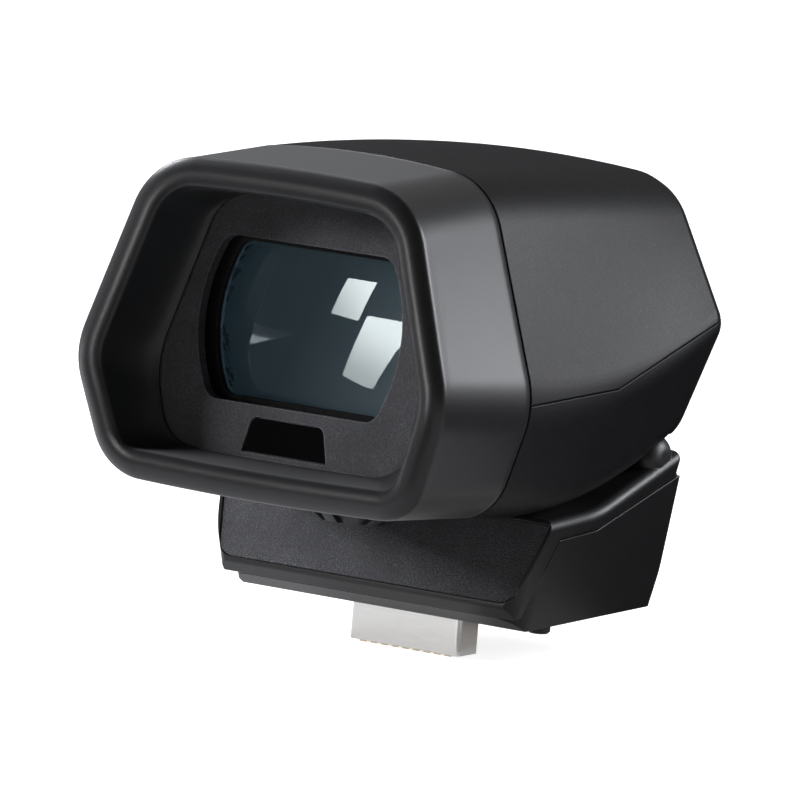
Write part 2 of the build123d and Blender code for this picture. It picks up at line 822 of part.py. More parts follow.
with BuildPart() as optic_tube:
    extrude(rounded_box(head_section(tube_y), tube_out, tube_out_height, tube_corner_r + tube_wall),
            amount=tube_y - tube_end_y)
    with BuildSketch(head_floor(-tube_out_height)):
        with Locations(*feet):
            Rectangle(foot_width + 2 * tube_wall, foot_len)
    extrude(amount=foot_t)
    extrude(rounded_box(head_section(tube_y), tube_half, tube_half_height, tube_corner_r),
            amount=tube_y - tube_end_y, mode=Mode.SUBTRACT)
    with BuildSketch(head_section(tube_end_y)):
        with Locations(*display_posts):
            Circle(display_post_r)
    extrude(amount=display_post_len)
    with BuildSketch(head_section(tube_end_y)):
        with Locations(*display_posts):
            Circle(display_screw_r + screw_slack)
    extrude(amount=display_post_len, mode=Mode.SUBTRACT)
    with BuildSketch(head_floor(-tube_out_height)):
        with Locations(*feet):
            Circle(head_screw_r + screw_slack)
    extrude(amount=foot_t, mode=Mode.SUBTRACT)
    with BuildSketch(head_floor(-tube_out_height)):
        with Locations((0, follower_y)):
            SlotOverall(2 * slot_half_len, 2 * (follower_r + groove_gap), rotation=90)
    extrude(amount=tube_wall, mode=Mode.SUBTRACT)
write(optic_tube, "optic_tube")

with BuildPart() as optic_screws:
    for x, y in feet:
        seat = Plane(origin=head_point(x, y, foot_t - tube_out_height), x_dir=(1, 0, 0), z_dir=head.z_dir)
        add(screw(seat, head_screw_r, optic_screw_len, screw_head_t))
write(optic_screws, "optic_screws")

with BuildPart() as lens_carriage:
    extrude(rounded_box(head_section(carriage_y), carriage_half, carriage_half_height, tube_corner_r),
            amount=-carriage_len)
    extrude(glass_outline(front_glass_y, -fit), amount=lip_t - carriage_len, mode=Mode.SUBTRACT)
    extrude(glass_outline(carriage_y, lip_band), amount=-lip_t, mode=Mode.SUBTRACT)
    with BuildSketch(head_floor(-carriage_half_height)):
        with Locations((0, follower_y)):
            Circle(follower_r + screw_slack)
    extrude(amount=follower_bury, mode=Mode.SUBTRACT)
write(lens_carriage, "lens_carriage")

with BuildPart() as follower_pin:
    with BuildSketch(head_floor(follower_end_z)):
        with Locations((0, follower_y)):
            Circle(follower_r)
    extrude(amount=follower_bury - carriage_half_height - follower_end_z)
write(follower_pin, "follower_pin")


def dome(y, height, radius, inset):
    """Bulge of a lens on the face at y, towards the eye for a positive height."""
    way = 1 if height > 0 else -1
    with BuildPart() as cap:
        with Locations(head_point(0, y - height + way * radius, 0)):
            Sphere(radius)
        extrude(glass_outline(y, inset), amount=height, mode=Mode.INTERSECT)
    return cap.part


with BuildPart() as lens_front:
    extrude(glass_outline(front_glass_y), amount=-front_edge_t)
    add(dome(front_glass_y, front_dome, front_glass_r, lip_band + fit))
write(lens_front, "lens_front")

with BuildPart() as lens_middle:
    extrude(glass_outline(middle_glass_y), amount=-middle_edge_t)
    with Locations(head_point(0, middle_glass_y + middle_hollow - middle_glass_r, 0)):
        Sphere(middle_glass_r, mode=Mode.SUBTRACT)
write(lens_middle, "lens_middle")

with BuildPart() as lens_rear:
    extrude(glass_outline(rear_glass_y), amount=-rear_edge_t)
    add(dome(rear_glass_y, rear_dome, rear_glass_r, spacer_band + fit))
write(lens_rear, "lens_rear")

with BuildPart() as lens_spacers:
    for y in (spacer_y, rear_spacer_y):
        extrude(glass_outline(y), amount=-spacer_t)
        extrude(glass_outline(y, spacer_band), amount=-spacer_t, mode=Mode.SUBTRACT)
write(lens_spacers, "lens_spacers")

with BuildPart() as lens_retainer:
    extrude(glass_outline(retainer_y), amount=-retainer_t)
    extrude(glass_outline(retainer_y, spacer_band), amount=-retainer_t, mode=Mode.SUBTRACT)
write(lens_retainer, "lens_retainer")

# Dioptre dial and its cam
groove_start = -90 - dial_range - groove_spare
groove_end = -90 + dial_range + groove_spare
groove_half_w = follower_r + groove_gap


def groove_point(angle, side_step):
    radius = groove_mid_r - cam_rate * (angle + 90) + side_step
    return (radius * cos(radians(angle)), dial_y + radius * sin(radians(angle)))


def groove_cap(angle, way):
    """Middle of the round end of the groove."""
    x, y = groove_point(angle, 0)
    turn = radians(angle + way * 90)
    return (x + groove_half_w * cos(turn), y + groove_half_w * sin(turn))


groove_step = (groove_end - groove_start) / (groove_points - 1)
groove_angles = [groove_start + groove_step * i for i in range(groove_points)]
with BuildPart() as cam_disc:
    with BuildSketch(head_floor(cam_z)):
        with Locations((0, dial_y)):
            Circle(cam_r)
    extrude(amount=cam_t)
    with BuildSketch(head_floor(hub_end_z)):
        with Locations((0, dial_y)):
            Circle(hub_r)
    extrude(amount=cam_z - hub_end_z)
    with BuildSketch(head_floor(cam_top_z - groove_depth)):
        with BuildLine():
            Spline(*[groove_point(angle, groove_half_w) for angle in groove_angles])
            ThreePointArc(groove_point(groove_end, groove_half_w), groove_cap(groove_end, 1),
                          groove_point(groove_end, -groove_half_w))
            Spline(*[groove_point(angle, -groove_half_w) for angle in reversed(groove_angles)])
            ThreePointArc(groove_point(groove_start, -groove_half_w), groove_cap(groove_start, -1),
                          groove_point(groove_start, groove_half_w))
        make_face()
    extrude(amount=groove_depth, mode=Mode.SUBTRACT)
    with BuildSketch(head_floor(hub_end_z)):
        with Locations((0, dial_y)):
            Circle(dial_screw_r + screw_slack)
    extrude(amount=dial_screw_len, mode=Mode.SUBTRACT)
write(cam_disc, "cam_disc")

with BuildPart() as dial_washer:
    with BuildSketch(head_floor(pad_z)):
        with Locations((0, dial_y)):
            Circle(pad_r)
            Circle(hub_r + hub_gap, mode=Mode.SUBTRACT)
    extrude(amount=washer_t)
write(dial_washer, "dial_washer")

dial_recess_z = dial_bottom_z + dial_screw_sink + dial_screw_head_t
def dial_form(inset):
    """Upright rim with a cone under it, drawn in by inset all round."""
    with BuildPart() as form:
        with BuildSketch(head_floor(dial_top_z)):
            with Locations((0, dial_y)):
                Circle(dial_r - inset)
        extrude(amount=-dial_rim)
        with BuildSketch(head_floor(dial_top_z - dial_rim)):
            with Locations((0, dial_y)):
                Circle(dial_r - inset)
        with BuildSketch(head_floor(dial_bottom_z)):
            with Locations((0, dial_y)):
                Circle(dial_foot_r - inset)
        loft()
    return form.part


with BuildPart() as dioptre_dial:
    with BuildSketch(head_floor(dial_top_z)):
        with Locations((0, dial_y)):
            with PolarLocations(dial_r / 2, dial_ribs, start_angle=rib_turn - 90):
                Rectangle(dial_r, rib_width)
    extrude(amount=-dial_height)
    add(dial_form(0), mode=Mode.INTERSECT)
    add(dial_form(rib_depth))
    with BuildSketch(head_floor(dial_top_z)):
        with Locations((0, dial_y)):
            Circle(hub_r + dial_seat_gap)
    extrude(amount=-dial_socket, mode=Mode.SUBTRACT)
    with BuildSketch(head_floor(dial_bottom_z)):
        with Locations((0, dial_y)):
            Circle(dial_screw_r + screw_slack)
    extrude(amount=dial_height, mode=Mode.SUBTRACT)
    with BuildSketch(head_floor(dial_bottom_z)):
        with Locations((0, dial_y)):
            Circle(dial_screw_r * screw_head_share + fit)
    extrude(amount=dial_screw_sink + dial_screw_head_t, mode=Mode.SUBTRACT)
write(dioptre_dial, "dioptre_dial")

with BuildPart() as dial_screw:
    seat = Plane(origin=head_point(0, dial_y, dial_recess_z), x_dir=(1, 0, 0), z_dir=-head.z_dir)
    add(screw(seat, dial_screw_r, dial_screw_len, dial_screw_head_t))
write(dial_screw, "dial_screw")

# Display behind the lenses
with BuildPart() as display_holder:
    extrude(rounded_box(head_section(tube_end_y), tube_out, tube_out_height, tube_corner_r + tube_wall),
            amount=-holder_t)
    with BuildSketch(head_section(panel_y)):
        with Locations(*display_posts):
            Circle(display_post_r)
    extrude(amount=-panel_t)
    with BuildSketch(head_section(tube_end_y)):
        with Locations(*display_posts):
            Circle(display_screw_r + screw_slack)
    extrude(amount=-holder_t - panel_t, mode=Mode.SUBTRACT)
    with BuildSketch(head_section(tube_end_y)):
        Rectangle(2 * (panel_half_w - screen_margin), 2 * (panel_half_h - screen_margin))
    extrude(amount=-holder_t, mode=Mode.SUBTRACT)
write(display_holder, "display_holder")

with BuildPart() as display_panel:
    with BuildSketch(head_section(panel_y)):
        Rectangle(2 * panel_half_w, 2 * panel_half_h)
    extrude(amount=-panel_t)
write(display_panel, "display_panel")

flex_level_z = (hinge_axis_z + hinge_clear_r + shell_wall + bracket_z) / 2
with BuildPart() as driver_board:
    with BuildSketch(head_section(driver_y)):
        Rectangle(2 * (tube_out - driver_edge_inset), 2 * (tube_out_height - driver_edge_inset))
    extrude(amount=-driver_t)
    with BuildSketch(head_section(driver_rear_y)):
        with Locations((flex_x, flex_level_z)):
            Rectangle(2 * socket_half, socket_h)
    extrude(amount=-socket_t)
    with BuildSketch(head_section(driver_y)):
        with Locations(*display_posts):
            Circle(display_screw_r + screw_slack)
    extrude(amount=-driver_t, mode=Mode.SUBTRACT)
write(driver_board, "driver_board")

with BuildPart() as display_screws:
    for x, z in display_posts:
        seat = Plane(origin=head_point(x, driver_rear_y, z), x_dir=(1, 0, 0), z_dir=head_back)
        add(screw(seat, display_screw_r, display_screw_len, screw_head_t))
write(display_screws, "display_screws")

# Hinge bracket in the head
with BuildPart() as hinge_bracket:
    with BuildSketch(hinge_plane):
        Circle(knuckle_r)
    extrude(amount=knuckle_half, both=True)
    with BuildSketch(head_floor(hinge_axis_z)):
        with Locations((0, hinge_axis_y)):
            Rectangle(2 * arm_half, arm_t)
    extrude(amount=arm_rise + flange_t)
    with BuildSketch(head_floor(bracket_z)):
        with Locations((0, hinge_axis_y - flange_depth / 2)):
            Rectangle(2 * arm_half, flange_depth + arm_t)
    extrude(amount=flange_t)
    with BuildSketch(hinge_plane):
        Circle(pin_r + pin_fit)
    extrude(amount=knuckle_half, both=True, mode=Mode.SUBTRACT)
    with BuildSketch(hinge_plane.offset(flex_x)):
        with Locations((-knuckle_r - arm_t / 2, 0)):
            Rectangle(2 * knuckle_r, 2 * knuckle_r)
    extrude(amount=flex_half + flex_gap, both=True, mode=Mode.SUBTRACT)
    with BuildSketch(head_floor(bracket_z)):
        with Locations(*bracket_screws_at):
            Circle(head_screw_r + screw_slack)
    extrude(amount=flange_t, mode=Mode.SUBTRACT)
write(hinge_bracket, "hinge_bracket")

with BuildPart() as bracket_screws:
    for x, y in bracket_screws_at:
        seat = Plane(origin=head_point(x, y, bracket_z + flange_t), x_dir=(1, 0, 0), z_dir=head.z_dir)
        add(screw(seat, head_screw_r, bracket_screw_len, screw_head_t))
write(bracket_screws, "bracket_screws")

# Base: outlines seen from the side
groove_run_y = front_top_y - nose_y
groove_run_z = front_top_z - nose_z
front_len = (groove_run_y**2 + groove_run_z**2) ** 0.5
front_in = Vector(groove_run_z / front_len, -groove_run_y / front_len)      # square to the front, inwards
groove_low_y = nose_y + groove_strip * front_in.X
groove_low_z = nose_z + groove_strip * front_in.Y
groove_top_y = groove_low_y + groove_run_y * (groove_rise_z - groove_low_z) / groove_run_z
plug_board_top_z = plug_rise + board_t


def base_profile(inset=0):
    with BuildSketch(side) as outline:
        with BuildLine():
            Polyline((under_front_y, 0), (groove_front_y, groove_front_z), (nose_y, nose_z),
                     (front_top_y, front_top_z), (cheek_bend_y, cheek_bend_z), (cheek_rear_y, cheek_rear_z),
                     (back_foot_y, 0), close=True)
        make_face()
        bend = outline.vertices().sort_by_distance((cheek_bend_y, cheek_bend_z, 0))[0]
        fillet(bend, cheek_bend_r)
        nose = outline.vertices().sort_by_distance((nose_y, nose_z, 0))[0]
        fillet(nose, nose_r)
        if inset:
            offset(amount=-inset)
    return outline.sketch


def side_slab(front_y, corner_r, inset=0):
    """Space between the flaring sides of the base, with rounded upright corners."""
    levels = []
    for z in (-overrun, eye_height):
        front_half = side_half + side_flare_share * z - side_taper_share * front_y - inset
        rear_half = side_half + side_flare_share * z - side_taper_share * back_foot_y - inset
        with BuildSketch(Plane.XY.offset(z)) as level:
            with BuildLine():
                Polyline((-front_half, front_y), (front_half, front_y), (rear_half, back_foot_y),
                         (-rear_half, back_foot_y), close=True)
            make_face()
            fillet(level.vertices().sort_by(Axis.Y)[:2], corner_r)
            fillet(level.vertices().sort_by(Axis.Y)[-2:], rear_corner_r)
        levels.append(level.sketch)
    with BuildPart() as slab:
        loft(levels, ruled=True)
    return slab.part


with BuildPart() as cradle:
    loft([seam_outline(seam_y, -cradle_gap), waist_outline(waist_y, -cradle_gap),
          rear_outline(rear_y - rear_edge_r, -cradle_gap)])
    extrude(rear_outline(rear_y - rear_edge_r, -cradle_gap), amount=-rear_edge_r - overrun)
with BuildPart() as cradle_floor:
    loft([seam_outline(seam_y, -cradle_gap - base_wall), waist_outline(waist_y, -cradle_gap - base_wall),
          rear_outline(rear_y - rear_edge_r, -cradle_gap - base_wall)])
    extrude(rear_outline(rear_y - rear_edge_r, -cradle_gap - base_wall), amount=-rear_edge_r - overrun)



def swing_room(gap):
    """The head and a gap round it, turned to its last tilts, without the round groove over the hinge."""
    with BuildPart() as grown:
        loft([seam_outline(seam_y, -gap), waist_outline(waist_y, -gap), rear_outline(rear_y - rear_edge_r, -gap)])
        extrude(rear_outline(rear_y - rear_edge_r, -gap), amount=-rear_edge_r - gap)
        with BuildSketch(hinge_plane):
            Circle(barrel_r + hinge_gap - gap)
        extrude(amount=groove_half, both=True, mode=Mode.SUBTRACT)
    with BuildPart() as room_round:
        for step in range(swing_steps):
            add(grown.part.rotate(hinge_axis, tilt_limit - swing_step * step))
    return room_round.part


head_swing = swing_room(swing_gap)
with BuildPart() as base_room:
    extrude(base_profile(base_wall), amount=2 * side_half, both=True)
    add(side_slab(nose_y + base_wall, nose_corner_r, base_wall), mode=Mode.INTERSECT)
    add(cradle_floor.part, mode=Mode.SUBTRACT)
    add(swing_room(swing_gap + base_wall), mode=Mode.SUBTRACT)
    with BuildSketch(hinge_plane):
        Circle(knuckle_clear_r + base_wall)
    extrude(amount=2 * side_half, both=True, mode=Mode.SUBTRACT)


def split_z(y):
    """Height of the split between cover and pan behind the front strip."""
    if y < groove_kink_y:
        share = (y - groove_top_y) / (groove_kink_y - groove_top_y)
        return groove_rise_z + (groove_kink_z - groove_rise_z) * share
    share = (y - groove_kink_y) / (groove_rear_y - groove_kink_y)
    return groove_kink_z + (groove_rear_z - groove_kink_z) * share


split_end_y = 2 * back_foot_y


def split_region(up):
    """Everything that belongs to the cover, or to the pan."""
    gap = groove_gap / 2 * (1 if up else -1)
    line = [(groove_front_y - gap, -overrun), (groove_front_y - gap, groove_front_z),
            (groove_low_y - gap, groove_low_z), (groove_top_y - gap, groove_rise_z + gap),
            (groove_kink_y, groove_kink_z + gap), (split_end_y, split_z(split_end_y) + gap)]
    if up:
        line += [(split_end_y, 2 * eye_height), (2 * nose_y, 2 * eye_height), (2 * nose_y, -overrun)]
    else:
        line += [(split_end_y, -overrun)]
    with BuildSketch(side) as region:
        with BuildLine():
            Polyline(*line, close=True)
        make_face()
    return region.sketch


base_posts = [(x, y) for x in (-base_post_x, base_post_x) for y in (base_post_front_y, base_post_rear_y)]
board_post_x = board_half_w - board_post_inset
board_posts = [(x, y) for x in (-board_post_x, board_post_x)
               for y in (board_front_y + board_post_inset, board_rear_y - board_post_inset)]
access_r = mount_head_r + access_gap
front_plane = Plane(origin=(0, nose_y, nose_z), x_dir=(1, 0, 0), z_dir=(0, -front_in.X, -front_in.Y))


def plate_outline(inset):
    """Outline of the front plate on the sloped face, up the slope from the nose."""
    low_half = side_half + side_flare_share * nose_z - side_taper_share * nose_y - inset
    high_half = side_half + side_flare_share * front_top_z - side_taper_share * front_top_y - inset
    with BuildSketch(front_plane) as outline:
        with BuildLine():
            Polyline((-low_half, inset), (low_half, inset), (high_half, front_len - inset),
                     (-high_half, front_len - inset), close=True)
        make_face()
        fillet(outline.vertices().sort_by(Axis.Y)[:2], plate_corner_r)
    return outline.sketch


with BuildPart() as cover_block:
    extrude(base_profile(), amount=2 * side_half, both=True)
    add(side_slab(nose_y, nose_corner_r), mode=Mode.INTERSECT)
    side_edges = cover_block.edges().filter_by(lambda e: abs(e.center().X) > side_half)
    top_edges = side_edges.filter_by(lambda e: e.center().Z > groove_rear_z / 2)
    fillet(top_edges.filter_by(lambda e: e.center().Y > front_top_y + cheek_edge_r), cheek_edge_r)
with BuildPart() as cover_room:
    add(base_room.part)
    with BuildSketch(Plane.XY.offset(base_joint_z)):
        with Locations(*base_posts):
            Circle(base_post_r)
    extrude(amount=eye_height, mode=Mode.SUBTRACT)
    with BuildSketch(Plane.XY.offset(access_z)):
        with Locations((0, mount_screw_y)):
            Circle(access_r + access_wall)
    extrude(amount=eye_height, mode=Mode.SUBTRACT)
with BuildPart() as barrels:
    with BuildSketch(hinge_plane):
        Circle(barrel_r)
    extrude(amount=barrel_half, both=True)
    fillet(barrels.edges().group_by(Axis.X)[0] + barrels.edges().group_by(Axis.X)[-1], barrel_end_r)
with BuildPart() as base_cover:
    add(cover_block.part)
    add(cradle.part, mode=Mode.SUBTRACT)
    extrude(split_region(True), amount=2 * side_half, both=True, mode=Mode.INTERSECT)
    add(cover_room.part, mode=Mode.SUBTRACT)
    add(head_swing, mode=Mode.SUBTRACT)
    for x, y in base_posts:
        with BuildSketch(Plane.XY.offset(base_joint_z)):
            with Locations((x, y)):
                Circle(base_post_r)
        extrude(amount=split_z(y) + groove_gap + base_wall / 2 - base_joint_z)
    with BuildSketch(Plane.XY.offset(access_z)):
        with Locations((0, mount_screw_y)):
            Circle(access_r + access_wall)
    extrude(amount=split_z(mount_screw_y) + groove_gap + base_wall / 2 - access_z)
    add(barrels.part)
    with BuildSketch(hinge_plane):
        Circle(knuckle_clear_r)
    extrude(amount=barrel_start, both=True, mode=Mode.SUBTRACT)
    with BuildSketch(Plane.XY.offset(hinge_z - arm_sweep_drop)):
        with Locations((0, hinge_y + back_foot_y / 2)):
            Rectangle(2 * barrel_start, back_foot_y)
    extrude(amount=eye_height, mode=Mode.SUBTRACT)
    with BuildSketch(hinge_plane):
        Circle(pin_r + pin_fit)
    extrude(amount=barrel_half - pin_end_wall, both=True, mode=Mode.SUBTRACT)
    with BuildSketch(Plane.XY.offset(flex_run_z)):
        with Locations((flex_x, hinge_y - flex_offset)):
            Rectangle(2 * (flex_half + flex_gap), 2 * (flex_t + flex_gap))
    extrude(amount=hinge_z - flex_run_z, mode=Mode.SUBTRACT)
    with BuildSketch(Plane.XY.offset(access_z)):
        with Locations((0, mount_screw_y)):
            Circle(access_r)
    extrude(amount=eye_height, mode=Mode.SUBTRACT)
    for x, y in base_posts:
        with BuildSketch(Plane.XY.offset(base_joint_z)):
            with Locations((x, y)):
                Circle(base_screw_r + screw_slack)
        extrude(amount=base_screw_len - groove_strip, mode=Mode.SUBTRACT)
    extrude(plate_outline(plate_rim), amount=-plate_sink - plate_t, mode=Mode.SUBTRACT)
write(base_cover, "base_cover")

with BuildPart() as base_plate:
    extrude(plate_outline(plate_rim + fit), amount=-plate_sink - plate_t)
    extrude(plate_outline(plate_rim), amount=-plate_sink, mode=Mode.SUBTRACT)
write(base_plate, "base_plate")

with BuildPart() as base_pan:
    extrude(base_profile(), amount=2 * side_half, both=True)
    add(side_slab(groove_front_y, pan_corner_r), mode=Mode.INTERSECT)
    extrude(split_region(False), amount=2 * side_half, both=True, mode=Mode.INTERSECT)
    add(base_room.part, mode=Mode.SUBTRACT)
    for x, y in base_posts:
        with BuildSketch(Plane.XY):
            with Locations((x, y)):
                Circle(base_post_r)
        extrude(amount=base_joint_z)
    for x, y in board_posts:
        with BuildSketch(Plane.XY):
            with Locations((x, y)):
                Circle(board_post_r)
        extrude(amount=plug_rise)
    with BuildSketch(Plane.XY):
        with Locations((0, mount_screw_y)):
            Circle(mount_boss_r)
    extrude(amount=mount_boss_z)
    for x, y in base_posts:
        with BuildSketch(Plane.XY):
            with Locations((x, y)):
                Circle(base_screw_r + screw_slack)
        extrude(amount=base_joint_z, mode=Mode.SUBTRACT)
        with BuildSketch(Plane.XY):
            with Locations((x, y)):
                Circle(base_screw_r * screw_head_share + recess_gap)
        extrude(amount=head_recess + screw_head_t, mode=Mode.SUBTRACT)
        with BuildSketch(Plane.XY.offset(base_joint_z)):
            with Locations((x, y)):
                Circle(base_post_r + groove_gap)
        extrude(amount=eye_height, mode=Mode.SUBTRACT)
    with BuildSketch(Plane.XY.offset(flex_run_z)):
        with Locations((flex_x, hinge_y - flex_offset)):
            Rectangle(2 * (flex_half + flex_gap), 2 * (flex_t + flex_gap))
    extrude(amount=hinge_z - flex_run_z, mode=Mode.SUBTRACT)
    for x, y in board_posts:
        with BuildSketch(Plane.XY.offset(plug_rise)):
            with Locations((x, y)):
                Circle(board_screw_r + screw_slack)
        extrude(amount=board_t - board_screw_len, mode=Mode.SUBTRACT)
    with BuildSketch(Plane.XY):
        with Locations((0, mount_screw_y)):
            Circle(mount_screw_r + mount_bore_gap)
    extrude(amount=mount_boss_z, mode=Mode.SUBTRACT)
    with BuildSketch(Plane.XY.offset(mount_boss_z)):
        with Locations((0, mount_screw_y)):
            Circle(mount_clip_r + clip_seat_gap)
    extrude(amount=-mount_clip_t, mode=Mode.SUBTRACT)
    extrude(rounded_box(Plane.XY, plug_half + fit, plug_half_depth + fit, plug_corner_r + fit),
            amount=base_joint_z, mode=Mode.SUBTRACT)
    for x in (-foot_pin_x, foot_pin_x):
        with BuildSketch(Plane.XY):
            with Locations((x, foot_pin_y)):
                Circle(foot_pin_root_r)
        extrude(amount=foot_pin_bury, mode=Mode.SUBTRACT)
        with BuildSketch(Plane.XY):
            with Locations((x, foot_pin_y)):
                Circle(foot_pin_r + foot_recess_gap)
        extrude(amount=foot_recess, mode=Mode.SUBTRACT)
    add(head_swing, mode=Mode.SUBTRACT)
write(base_pan, "base_pan")

with BuildPart() as base_screws:
    for x, y in base_posts:
        seat = Plane(origin=(x, y, head_recess + screw_head_t), x_dir=(1, 0, 0), z_dir=(0, 0, -1))
        add(screw(seat, base_screw_r, base_screw_len, screw_head_t))
write(base_screws, "base_screws")

with BuildPart() as hinge_pin:
    with BuildSketch(hinge_plane):
        Circle(pin_r)
    extrude(amount=barrel_half - pin_end_wall - fit, both=True)
write(hinge_pin, "hinge_pin")

with BuildPart() as hinge_washers:
    for way in (-1, 1):
        with BuildSketch(hinge_plane.offset(way * (knuckle_half + knuckle_end_gap))):
            Circle(friction_washer_r)
            Circle(pin_r + pin_fit, mode=Mode.SUBTRACT)
        extrude(amount=way * friction_washer_t)
write(hinge_washers, "hinge_washers")

# Plug
with BuildPart() as plug_shell:
    extrude(rounded_box(Plane.XY.offset(-plug_drop), plug_half, plug_half_depth, plug_corner_r),
            amount=plug_drop + plug_rise)
    extrude(rounded_box(Plane.XY.offset(-plug_drop), plug_half - plug_skin, plug_half_depth - plug_skin,
                        plug_corner_r - plug_skin), amount=plug_drop + plug_rise, mode=Mode.SUBTRACT)
write(plug_shell, "plug_shell")

contact_y = -plug_half_depth + plug_skin + contact_inset + contact_t / 2
contact_xs = [contact_pitch * (i - (contact_count - 1) / 2) for i in range(contact_count)]
with BuildPart() as plug_insulator:
    extrude(rounded_box(Plane.XY.offset(-plug_drop + contact_inset), plug_half - plug_skin,
                        plug_half_depth - plug_skin, plug_corner_r - plug_skin),
            amount=plug_drop - contact_inset + plug_rise)
    with BuildSketch(Plane.XY.offset(-plug_drop)):
        for x in contact_xs:
            with Locations((x, contact_y)):
                Rectangle(contact_w, contact_t)
    extrude(amount=plug_drop + plug_rise, mode=Mode.SUBTRACT)
write(plug_insulator, "plug_insulator")

with BuildPart() as plug_contacts:
    with BuildSketch(Plane.XY.offset(-plug_drop - contact_tip)):
        for x in contact_xs:
            with Locations((x, contact_y)):
                Rectangle(contact_w, contact_t)
    extrude(amount=plug_drop + contact_tip + plug_rise)
write(plug_contacts, "plug_contacts")

flex_base_y = board_rear_y - board_post_inset
with BuildPart() as plug_board:
    with BuildSketch(Plane.XY.offset(plug_rise)):
        with Locations((0, (board_front_y + board_rear_y) / 2)):
            Rectangle(2 * board_half_w, board_rear_y - board_front_y)
        with Locations(*board_posts):
            Circle(board_screw_r + screw_slack, mode=Mode.SUBTRACT)
    extrude(amount=board_t)
    with BuildSketch(Plane.XY.offset(plug_board_top_z)):
        with Locations((flex_x, flex_base_y)):
            Rectangle(2 * socket_half, socket_h)
    extrude(amount=socket_t)
write(plug_board, "plug_board")

with BuildPart() as board_screws:
    for x, y in board_posts:
        seat = Plane(origin=(x, y, plug_board_top_z), x_dir=(1, 0, 0), z_dir=(0, 0, 1))
        add(screw(seat, board_screw_r, board_screw_len, screw_head_t))
write(board_screws, "board_screws")

with BuildPart() as locating_pins:
    for x in (-foot_pin_x, foot_pin_x):
        with BuildSketch(Plane.XY.offset(foot_pin_bury)):
            with Locations((x, foot_pin_y)):
                Circle(foot_pin_root_r)
        extrude(amount=-foot_pin_bury - foot_pin_neck)
        with BuildSketch(Plane.XY.offset(-foot_pin_neck)):
            with Locations((x, foot_pin_y)):
                Circle(foot_pin_r)
        extrude(amount=foot_pin_neck - foot_pin_drop)
    chamfer(locating_pins.edges().group_by(Axis.Z)[0], foot_pin_chamfer)
write(locating_pins, "locating_pins")

# Captive screw
mount_seat_z = mount_boss_z + mount_travel + mount_travel_gap + mount_washer_t
with BuildPart() as mounting_screw:
    with BuildSketch(Plane.XY.offset(mount_tip_z)):
        with Locations((0, mount_screw_y)):
            Circle(mount_screw_r)
    extrude(amount=mount_seat_z - mount_tip_z)
    with BuildSketch(Plane.XY.offset(mount_seat_z)):
        with Locations((0, mount_screw_y)):
            Circle(mount_head_r)
            RegularPolygon(key_r, 6, mode=Mode.SUBTRACT)
    extrude(amount=mount_head_t)
    with BuildSketch(Plane.XY.offset(mount_seat_z)):
        with Locations((0, mount_screw_y)):
            Circle(mount_screw_r)
    extrude(amount=mount_head_t - key_depth)
write(mounting_screw, "mounting_screw")

with BuildPart() as screw_washer:
    with BuildSketch(Plane.XY.offset(mount_seat_z - mount_washer_t)):
        with Locations((0, mount_screw_y)):
            Circle(mount_head_r)
            Circle(mount_screw_r + pin_fit, mode=Mode.SUBTRACT)
    extrude(amount=mount_washer_t)
write(screw_washer, "screw_washer")

with BuildPart() as screw_clip:
    with BuildSketch(Plane.XY.offset(mount_boss_z - mount_clip_t)):
        with Locations((0, mount_screw_y)):
            Circle(mount_clip_r)
            Circle(mount_screw_r + mount_clip_fit, mode=Mode.SUBTRACT)
    extrude(amount=mount_clip_t)
write(screw_clip, "screw_clip")

# Ribbon from the driver board through the hinge to the base board
flex_start = head_point(0, driver_rear_y + socket_t, flex_level_z)
flex_turn = head_point(0, hinge_axis_y - flex_offset, flex_level_z)
with BuildPart() as hinge_flex:
    with BuildSketch(side.offset(flex_x - flex_half)):
        with BuildLine() as route:
            FilletPolyline((flex_start.Y, flex_start.Z), (flex_turn.Y, flex_turn.Z),
                           (hinge_y - flex_offset, hinge_z), (hinge_y - flex_offset, flex_run_z),
                           (flex_base_y, flex_run_z), (flex_base_y, plug_board_top_z + socket_t),
                           radius=flex_bend_r)
        trace(route.wires()[0], line_width=flex_t)
    extrude(amount=2 * flex_half)
write(hinge_flex, "hinge_flex")
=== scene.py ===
import math

import bpy
from mathutils import Matrix, Vector


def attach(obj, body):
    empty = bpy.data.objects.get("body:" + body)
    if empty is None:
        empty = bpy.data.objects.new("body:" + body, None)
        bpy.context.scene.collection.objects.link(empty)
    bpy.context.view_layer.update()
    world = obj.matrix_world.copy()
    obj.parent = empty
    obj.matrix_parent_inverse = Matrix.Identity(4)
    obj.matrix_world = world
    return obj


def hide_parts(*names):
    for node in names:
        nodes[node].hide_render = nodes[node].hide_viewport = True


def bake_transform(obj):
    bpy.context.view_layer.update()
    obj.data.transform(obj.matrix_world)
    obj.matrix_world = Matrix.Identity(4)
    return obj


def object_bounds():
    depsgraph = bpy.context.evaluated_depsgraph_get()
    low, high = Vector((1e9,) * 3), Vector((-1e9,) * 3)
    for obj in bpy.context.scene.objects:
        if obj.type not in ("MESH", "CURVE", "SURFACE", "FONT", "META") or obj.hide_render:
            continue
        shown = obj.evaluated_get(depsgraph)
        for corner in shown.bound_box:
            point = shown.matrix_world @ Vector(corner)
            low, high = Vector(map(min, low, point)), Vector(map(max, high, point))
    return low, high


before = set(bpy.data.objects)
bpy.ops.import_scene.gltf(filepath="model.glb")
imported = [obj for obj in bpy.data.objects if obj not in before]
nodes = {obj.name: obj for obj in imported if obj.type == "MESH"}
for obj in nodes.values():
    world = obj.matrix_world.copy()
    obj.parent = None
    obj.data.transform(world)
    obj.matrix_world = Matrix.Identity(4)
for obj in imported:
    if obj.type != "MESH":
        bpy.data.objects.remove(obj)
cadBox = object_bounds()
print("frame loaded:", len(nodes), "nodes")

# small helpers


